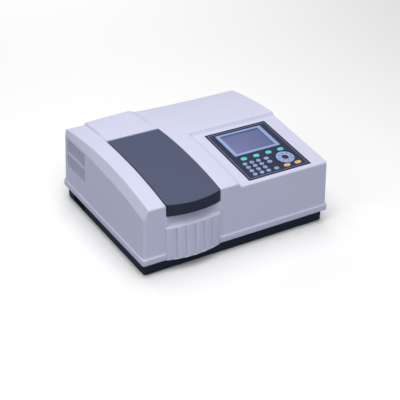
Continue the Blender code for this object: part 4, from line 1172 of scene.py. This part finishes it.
def make_screen():
    su, sv = (c / 2 for c in SCREEN_SIZE)
    cu, cv = SCREEN_MIDDLE
    window = outline_box((cu - su, cv - sv), (cu + su, cv + sv), 0.0012)
    rim = outline_box([c + 0.0003 for c in BEZEL_LOW], [c - 0.0003 for c in BEZEL_HIGH], 0.0014)
    frame_plate = plate(rim, [window], -0.0022, 0.0006, 0.0004, panel_place())
    piece("screen_bezel", frame_plate, "bezel_blue", "case", ["lcd_bezel"])
    low = (cu - su - 0.0020, cv - sv - 0.0020)
    high = (cu + su + 0.0020, cv + sv + 0.0020)
    glass = rounded_box((*low, -SCREEN_DEPTH - 0.002), (*high, -SCREEN_DEPTH), 0.0002, panel_place())
    piece("screen_glass", glass, "screen_blue", "case", ["lcd_screen"])


def glyph(text, size, place):
    """Raised print of a character, from a text curve."""
    curve = bpy.data.curves.new("glyph", "FONT")
    curve.body = text
    curve.size = size
    curve.align_x = "CENTER"
    curve.align_y = "CENTER"
    curve.extrude = 0.00004
    curve.resolution_u = 3
    return curve_shape(curve, place)


def bar_mark(u, v, long, short, n):
    ends = ((-long / 2, -short / 2, -0.00004), (long / 2, short / 2, 0.00004))
    return rounded_box(*ends, 0.00002, panel_place(u, v, n), 1)


KEY_TEXT = {f"number_key_{k + 1}": text for k, text in enumerate("789456123")}
KEY_TEXT.update({"number_key_10": "0", "number_key_11": ".", "number_key_12": "-"})


def key_shape(u, v, long, short):
    """Oval key cap with a rounded shoulder and a shallow dish on top."""
    profile = [(short - 0.0001, KEY_FOOT)] + rounded_end(short, KEY_RISE, 0.0009)
    dish = ((0.70, 0.00008), (0.45, 0.00022), (0.2, 0.00028), (0.03, 0.0003))
    profile += [(short * share, KEY_RISE - depth) for share, depth in dish]
    return turned(profile, 40, panel_place(u, v), long - short)


def make_keys():
    bar_width = {"key_orange": (0.9, 0.0011), "key_blue": (0.8, 0.0010)}
    n = KEY_RISE - 0.00024
    for name, long, short, finish in key_names():
        u, v = panel_uv(name)
        shapes = [(0, key_shape(u, v, long, short))]
        if name in KEY_TEXT:
            shapes.append((1, glyph(KEY_TEXT[name], 0.0078, panel_place(u, v, n))))
        elif finish in bar_width:
            share, width = bar_width[finish]
            shapes.append((1, bar_mark(u, v, long * share, width, n)))
        piece(name + "_cap", merge(shapes), finish + " key_mark", name, [name])


def make_navigation():
    """Tilting ring with arrow marks, round a hub that presses in."""
    top = NAV_RISE
    place = panel_place(*panel_uv("nav_ring"))
    profile = [(NAV_HOLE, -0.0020), (NAV_RADIUS - 0.0001, -0.0020), (NAV_RADIUS, -0.0018)]
    profile += rounded_end(NAV_RADIUS, top - 0.0002, 0.0011) + [(0.0200, top), (0.0135, top - 0.0001)]
    mouth = ((0.0007, 0.0002), (0.0002, 0.0004), (0.0, 0.0008))
    profile += [(NAV_HOLE + aside, top - fall) for aside, fall in mouth]
    shapes = [(0, turned_ring(profile, 72, place))]
    arrow = [(0.0029, 0.0), (-0.0017, 0.0026), (-0.0017, -0.0026)]
    for angle in turns(8):
        at = place @ Matrix.Rotation(angle, 4, "Z") @ Matrix.Translation((0.0170, 0, top - 0.00003))
        shapes.append((1, loft([[at @ Vector((x, y, z)) for x, y in arrow] for z in (-0.0001, 0.0001)])))
    piece("nav_ring_cap", merge(shapes), "key_blue key_mark", "nav_ring", ["nav_ring"])
    hub = [(HUB_RADIUS - 0.0001, KEY_FOOT)] + rounded_end(HUB_RADIUS, top + 0.0002, 0.0008)
    hub += [(0.0050, top + 0.0003), (0.0022, top + 0.0004), (0.0002, top + 0.0004)]
    piece("nav_hub_cap", turned(hub, 48, place), "panel_dark", "nav_hub", ["nav_hub"])


# ---- sides and back
def make_vent(name, low_z, high_z):
    """Louvred grille that fills one window of the left wall."""
    y0, y1 = VENT_Y[0] + SEAT_GAP, VENT_Y[1] - SEAT_GAP
    centre = (low_z + high_z) / 2
    half = (high_z - low_z) / 2 - SEAT_GAP
    slope = (TOP[0] - RIM[0] - RIM_STEP) / (SIDE_BROW - RIM_TOP)
    face = TOP[0] - slope * (SIDE_BROW - centre) + 0.0011
    lean = Matrix.Translation((face, 0, centre)) @ Matrix.Rotation(math.atan(slope), 4, "Y")
    inner = half - VENT_RIM
    sides = [((0, y0, -half), (VENT_RIM, y1, -inner)), ((0, y0, inner), (VENT_RIM, y1, half))]
    sides += [((0, y0, -inner), (VENT_RIM, y0 + VENT_RIM, inner))]
    sides += [((0, y1 - VENT_RIM, -inner), (VENT_RIM, y1, inner))]
    shapes = [(0, rounded_box(*side, 0.00025, lean)) for side in sides]
    pitch = 2 * inner / VENT_SLATS
    ends = (y0 + VENT_RIM * 0.8, y1 - VENT_RIM * 0.8)
    for k in range(VENT_SLATS):
        at = Matrix.Translation((0.0016, 0, pitch * (k + 0.5) - inner)) @ Matrix.Rotation(SLAT_TILT, 4, "Y")
        slat = ((-0.0007, ends[0], -pitch * 0.47), (0.0001, ends[1], pitch * 0.47))
        shapes.append((0, rounded_box(*slat, 0.0002, lean @ at)))
    middle = (y0 + y1) / 2
    post = ((0.0016, middle - 0.001, -half + 0.001), (0.0026, middle + 0.001, half - 0.001))
    shapes.append((0, rounded_box(*post, 0.0002, lean)))
    piece(name + "_louvres", merge(shapes), "vent_white", "case", [name])


def make_fan_guard():
    """Finger guard outside the fan: wire rings on four legs."""
    place = Matrix.Translation((FAN_X, TOP[3] + 0.0032, FAN_Z)) @ Matrix.Rotation(math.pi / 2, 4, "X")
    outline = outline_box((-0.034, -0.034), (0.034, 0.034), 0.004)
    hole = outline_oval(0.0, 0.0, 0.0272, 0.0272, 64)
    shapes = [(0, plate(outline, [hole], -0.0008, 0.0008, 0.0003, place))]
    for radius in (0.0075, 0.0125, 0.0175, 0.0225):
        wire = [(radius + GUARD_WIRE * math.cos(angle), GUARD_WIRE * math.sin(angle)) for angle in turns(8)]
        shapes.append((0, turned_ring(wire, 64, place)))
    for angle in turns(4):
        spoke = place @ Matrix.Rotation(math.pi / 4 + angle, 4, "Z")
        ends = ((0.0070, -GUARD_WIRE, -GUARD_WIRE), (0.0278, GUARD_WIRE, GUARD_WIRE))
        shapes.append((0, rounded_box(*ends, 0.0003, spoke)))
    piece("fan_guard", merge(shapes), "compartment_black", "case")


def screw_head(place):
    """Pan-head screw with a cross recess, standing on local z = 0."""
    profile = [(SCREW_RADIUS, 0.0)] + rounded_end(SCREW_RADIUS, SCREW_HEIGHT, 0.0012)
    profile += [(0.0012, SCREW_HEIGHT + 0.0002), (0.0001, SCREW_HEIGHT + 0.0002)]
    shapes = [(0, turned(profile, 24, place))]
    for long, short in ((0.0019, 0.0004), (0.0004, 0.0019)):
        top = SCREW_HEIGHT + 0.0003
        shapes.append((1, rounded_box((-long, -short, top - 0.0004), (long, short, top), 0.0001, place, 1)))
    return shapes


def back_place(x, z):
    """Frame on the back wall: local x to the left seen from the front, local y up, local z outwards."""
    lean = (RIM[3] - RIM_STEP - TOP[3]) / (BACK_BROW - RIM_TOP)
    out = Matrix.Translation((x, TOP[3] + lean * (BACK_BROW - z), z))
    tilt = Matrix.Rotation(math.atan(lean), 4, "X")
    return out @ tilt @ Matrix.Rotation(math.pi, 4, "Z") @ Matrix.Rotation(-math.pi / 2, 4, "X")


# parts of the socket plate: index of its finish, two corners and the rounding of its edges
SOCKETS = (
    (0, (-0.040, -0.015, -0.0010), (0.040, 0.015, 0.0010), 0.0004),
    (1, (-0.031, -0.0058, 0.0), (-0.001, 0.0058, 0.0050), 0.0016),
    (0, (-0.0285, -0.0038, 0.0030), (-0.0035, 0.0038, 0.0054), 0.0010),
    (1, (0.013, -0.0060, 0.0), (0.025, 0.0060, 0.0030), 0.0008),
    (0, (0.0145, -0.0045, 0.0010), (0.0235, 0.0045, 0.0033), 0.0006),
)
SOCKET_PINS = 9


def make_back_details():
    """The cover's screws, a plate with two sockets and a blank plate, all guessed."""
    shapes = []
    for x, z in ((-0.245, 0.075), (0.245, 0.075), (-0.045, 0.075), (0.245, 0.165)):
        shapes += screw_head(back_place(x, z))
    piece("back_screws", merge(shapes), "steel compartment_black", "case")
    place = back_place(0.150, 0.090)
    sockets = [(index, rounded_box(low, high, edge, place)) for index, low, high, edge in SOCKETS]
    for k in range(SOCKET_PINS):
        pin = Matrix.Translation((-0.0270 + k * 0.00275, 0.0013 - k % 2 * 0.0026, 0.0030))
        sockets.append((1, turned([(0.0005, 0.0), (0.0005, 0.0028)], 10, place @ pin)))
    for x in (-0.0350, 0.0030):
        sockets += [(1, part) for _, part in screw_head(place @ Matrix.Translation((x, 0, 0.0010)))]
    piece("back_sockets", merge(sockets), "compartment_black steel", "case")
    label = rounded_box((-0.032, -0.018, -0.0003), (0.032, 0.018, 0.0004), 0.0002, back_place(0.030, 0.092))
    piece("back_plate", label, "aluminium", "case")


def make_underside():
    """Screws that hold the tray."""
    down = Matrix.Rotation(math.pi, 4, "X")
    shapes = []
    for x in (TRAY[0] + 0.016, 0.0, TRAY[1] - 0.016):
        for y in (TRAY[2] + 0.070, TRAY[3] - 0.070):
            shapes += screw_head(Matrix.Translation((x, y, tray_low.z)) @ down)
    piece("tray_screws", merge(shapes), "steel compartment_black", "case")


def make_feet():
    """Rubber pads with a raised ring that stands on the floor."""
    for node in ("foot_front_left", "foot_front_right", "foot_rear_left", "foot_rear_right"):
        low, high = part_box(node)
        middle = (low + high) / 2
        radius = (high.x - low.x) / 2
        ring = ((0.20, 0.0006), (0.62, 0.0005), (0.70, 0.0), (0.86, 0.0), (0.93, 0.0003))
        profile = [(radius * share, height) for share, height in ring]
        profile += [(radius, high.z - 0.0004), (radius, high.z), (radius * 0.2, high.z)]
        pad = turned(profile, 48, Matrix.Translation((middle.x, middle.y, 0)))
        piece(node + "_pad", pad, "rubber", "case", [node])


# ---- CAD pieces that stay, with softened edges and their own finish
# finish: the nodes that wear it, each with the width of its softened edges
KEPT = {
    "tray_black": {"base_tray": 0.0006},
    "switch_red": {"power_switch": 0.0006},
    "steel": {"lid_hinge_pin": 0.0002, "carriage_screw": 0.0002, "power_supply": 0.0005},
    "aluminium": {"cell_carriage": 0.0004, "optical_bench": 0.0006},
    "rubber": {"lid_gasket": 0.0006},
    "lamp_glass": {"cuvette": 0.0003, "deuterium_lamp": 0.0004, "tungsten_lamp": 0.0004},
    "mirror": {"lamp_mirror": 0.0003, "grating_mount": 0.0004, "collimating_mirror": 0.0004},
    "board_green": {"main_board": 0.0001},
    "compartment_black": {
        "power_inlet": 0.0004,
        "nav_gimbal": 0.0001,
        "sample_tub": 0.0005,
        "carriage_motor": 0.0008,
        "filter_wheel": 0.0003,
        "slit_plate": 0.0001,
        "detector": 0.0006,
        "fan_frame": 0.0004,
        "fan_rotor": 0.0002,
    },
}


def keep_node(node, finish, width):
    """Gives a CAD node its finish and softens its edges by modifiers."""
    node.data.materials.clear()
    node.data.materials.append(materials[finish])
    weld = node.modifiers.new("weld", "WELD")
    weld.merge_threshold = 0.00001
    bevel = node.modifiers.new("soften", "BEVEL")
    bevel.width = width
    bevel.segments = 2
    bevel.limit_method = "ANGLE"
    bevel.angle_limit = math.radians(35)
    bevel.use_clamp_overlap = True


# ---- floor, light and camera
def make_stage():
    shape = bmesh.new()
    bmesh.ops.create_grid(shape, x_segments=8, y_segments=8, size=6.0)
    mesh = bpy.data.meshes.new("floor")
    shape.to_mesh(mesh)
    shape.free()
    floor = add_object("floor", mesh)
    paint = Paint("floor", (0.50, 0.52, 0.60), 0.75)
    seen = paint.nodes.new("ShaderNodeLightPath").outputs["Is Camera Ray"]
    paint.mix(seen, (0.95, 0.95, 0.95)).uneven(6.0, 0.05).grain(300.0, 0.05)
    mesh.materials.append(paint.done())


def area_light(name, place, aim, size, power, glossy=True):
    """Soft white light; one that isn't glossy leaves no reflection on the object."""
    light = bpy.data.lights.new(name, "AREA")
    light.shape = "RECTANGLE"
    light.size, light.size_y = size
    light.energy = power
    made = add_object(name, light)
    made.location = place
    made.visible_glossy = glossy
    made.rotation_euler = (Vector(aim) - Vector(place)).to_track_quat("-Z", "Y").to_euler()


def make_light():
    world = bpy.data.worlds.new("studio")
    bpy.context.scene.world = world
    world.use_nodes = True
    background = world.node_tree.nodes["Background"]
    background.inputs["Color"].default_value = (1.0, 1.0, 1.0, 1.0)
    seen = world.node_tree.nodes.new("ShaderNodeLightPath").outputs["Is Camera Ray"]
    strength = world.node_tree.nodes.new("ShaderNodeMath")
    strength.operation = "MULTIPLY_ADD"
    world.node_tree.links.new(seen, strength.inputs[0])
    strength.inputs[1].default_value = 0.85
    strength.inputs[2].default_value = 0.10
    world.node_tree.links.new(strength.outputs["Value"], background.inputs["Strength"])
    middle = (0.0, 0.0, 0.1)
    area_light("overhead", (0.0, 0.3, 2.6), middle, (2.6, 2.2), 35.0)
    area_light("overhead_front", (-0.3, -1.0, 2.3), middle, (1.8, 1.4), 25.0)
    area_light("front_high", (-0.6, -2.6, 2.3), middle, (1.4, 1.1), 15.0)
    area_light("left_high", (-2.8, -0.5, 2.5), middle, (1.4, 1.4), 21.0)
    area_light("floor_wash", (1.2, 3.4, 2.2), (1.2, 3.4, 0.0), (4.5, 2.2), 84.0, False)


def make_camera():
    data = bpy.data.cameras.new("camera")
    camera = add_object("camera", data)
    data.sensor_width = 36.0
    data.lens = 84.4
    data.shift_x = 0.0481
    camera.location = (-1.119, -1.892, 1.310)
    camera.rotation_euler = Vector((0.4281, 0.7503, -0.5038)).to_track_quat("-Z", "Y").to_euler()
    bpy.context.scene.camera = camera
    bpy.context.scene.view_settings.view_transform = "Standard"


make_main_cover()
make_lamp_cover()
make_lid()
make_lid_liner()
make_fascia()
make_keypad_panel()
make_screen()
make_keys()
make_navigation()
for vent_name, (vent_low, vent_high) in zip(("side_vent_lower", "side_vent_upper"), VENT_Z):
    make_vent(vent_name, vent_low, vent_high)
make_fan_guard()
make_back_details()
make_underside()
make_feet()
for kept_finish, widths in KEPT.items():
    for kept_name, edge_width in widths.items():
        keep_node(frame["nodes"][kept_name], kept_finish, edge_width)
make_stage()
make_light()
make_camera()
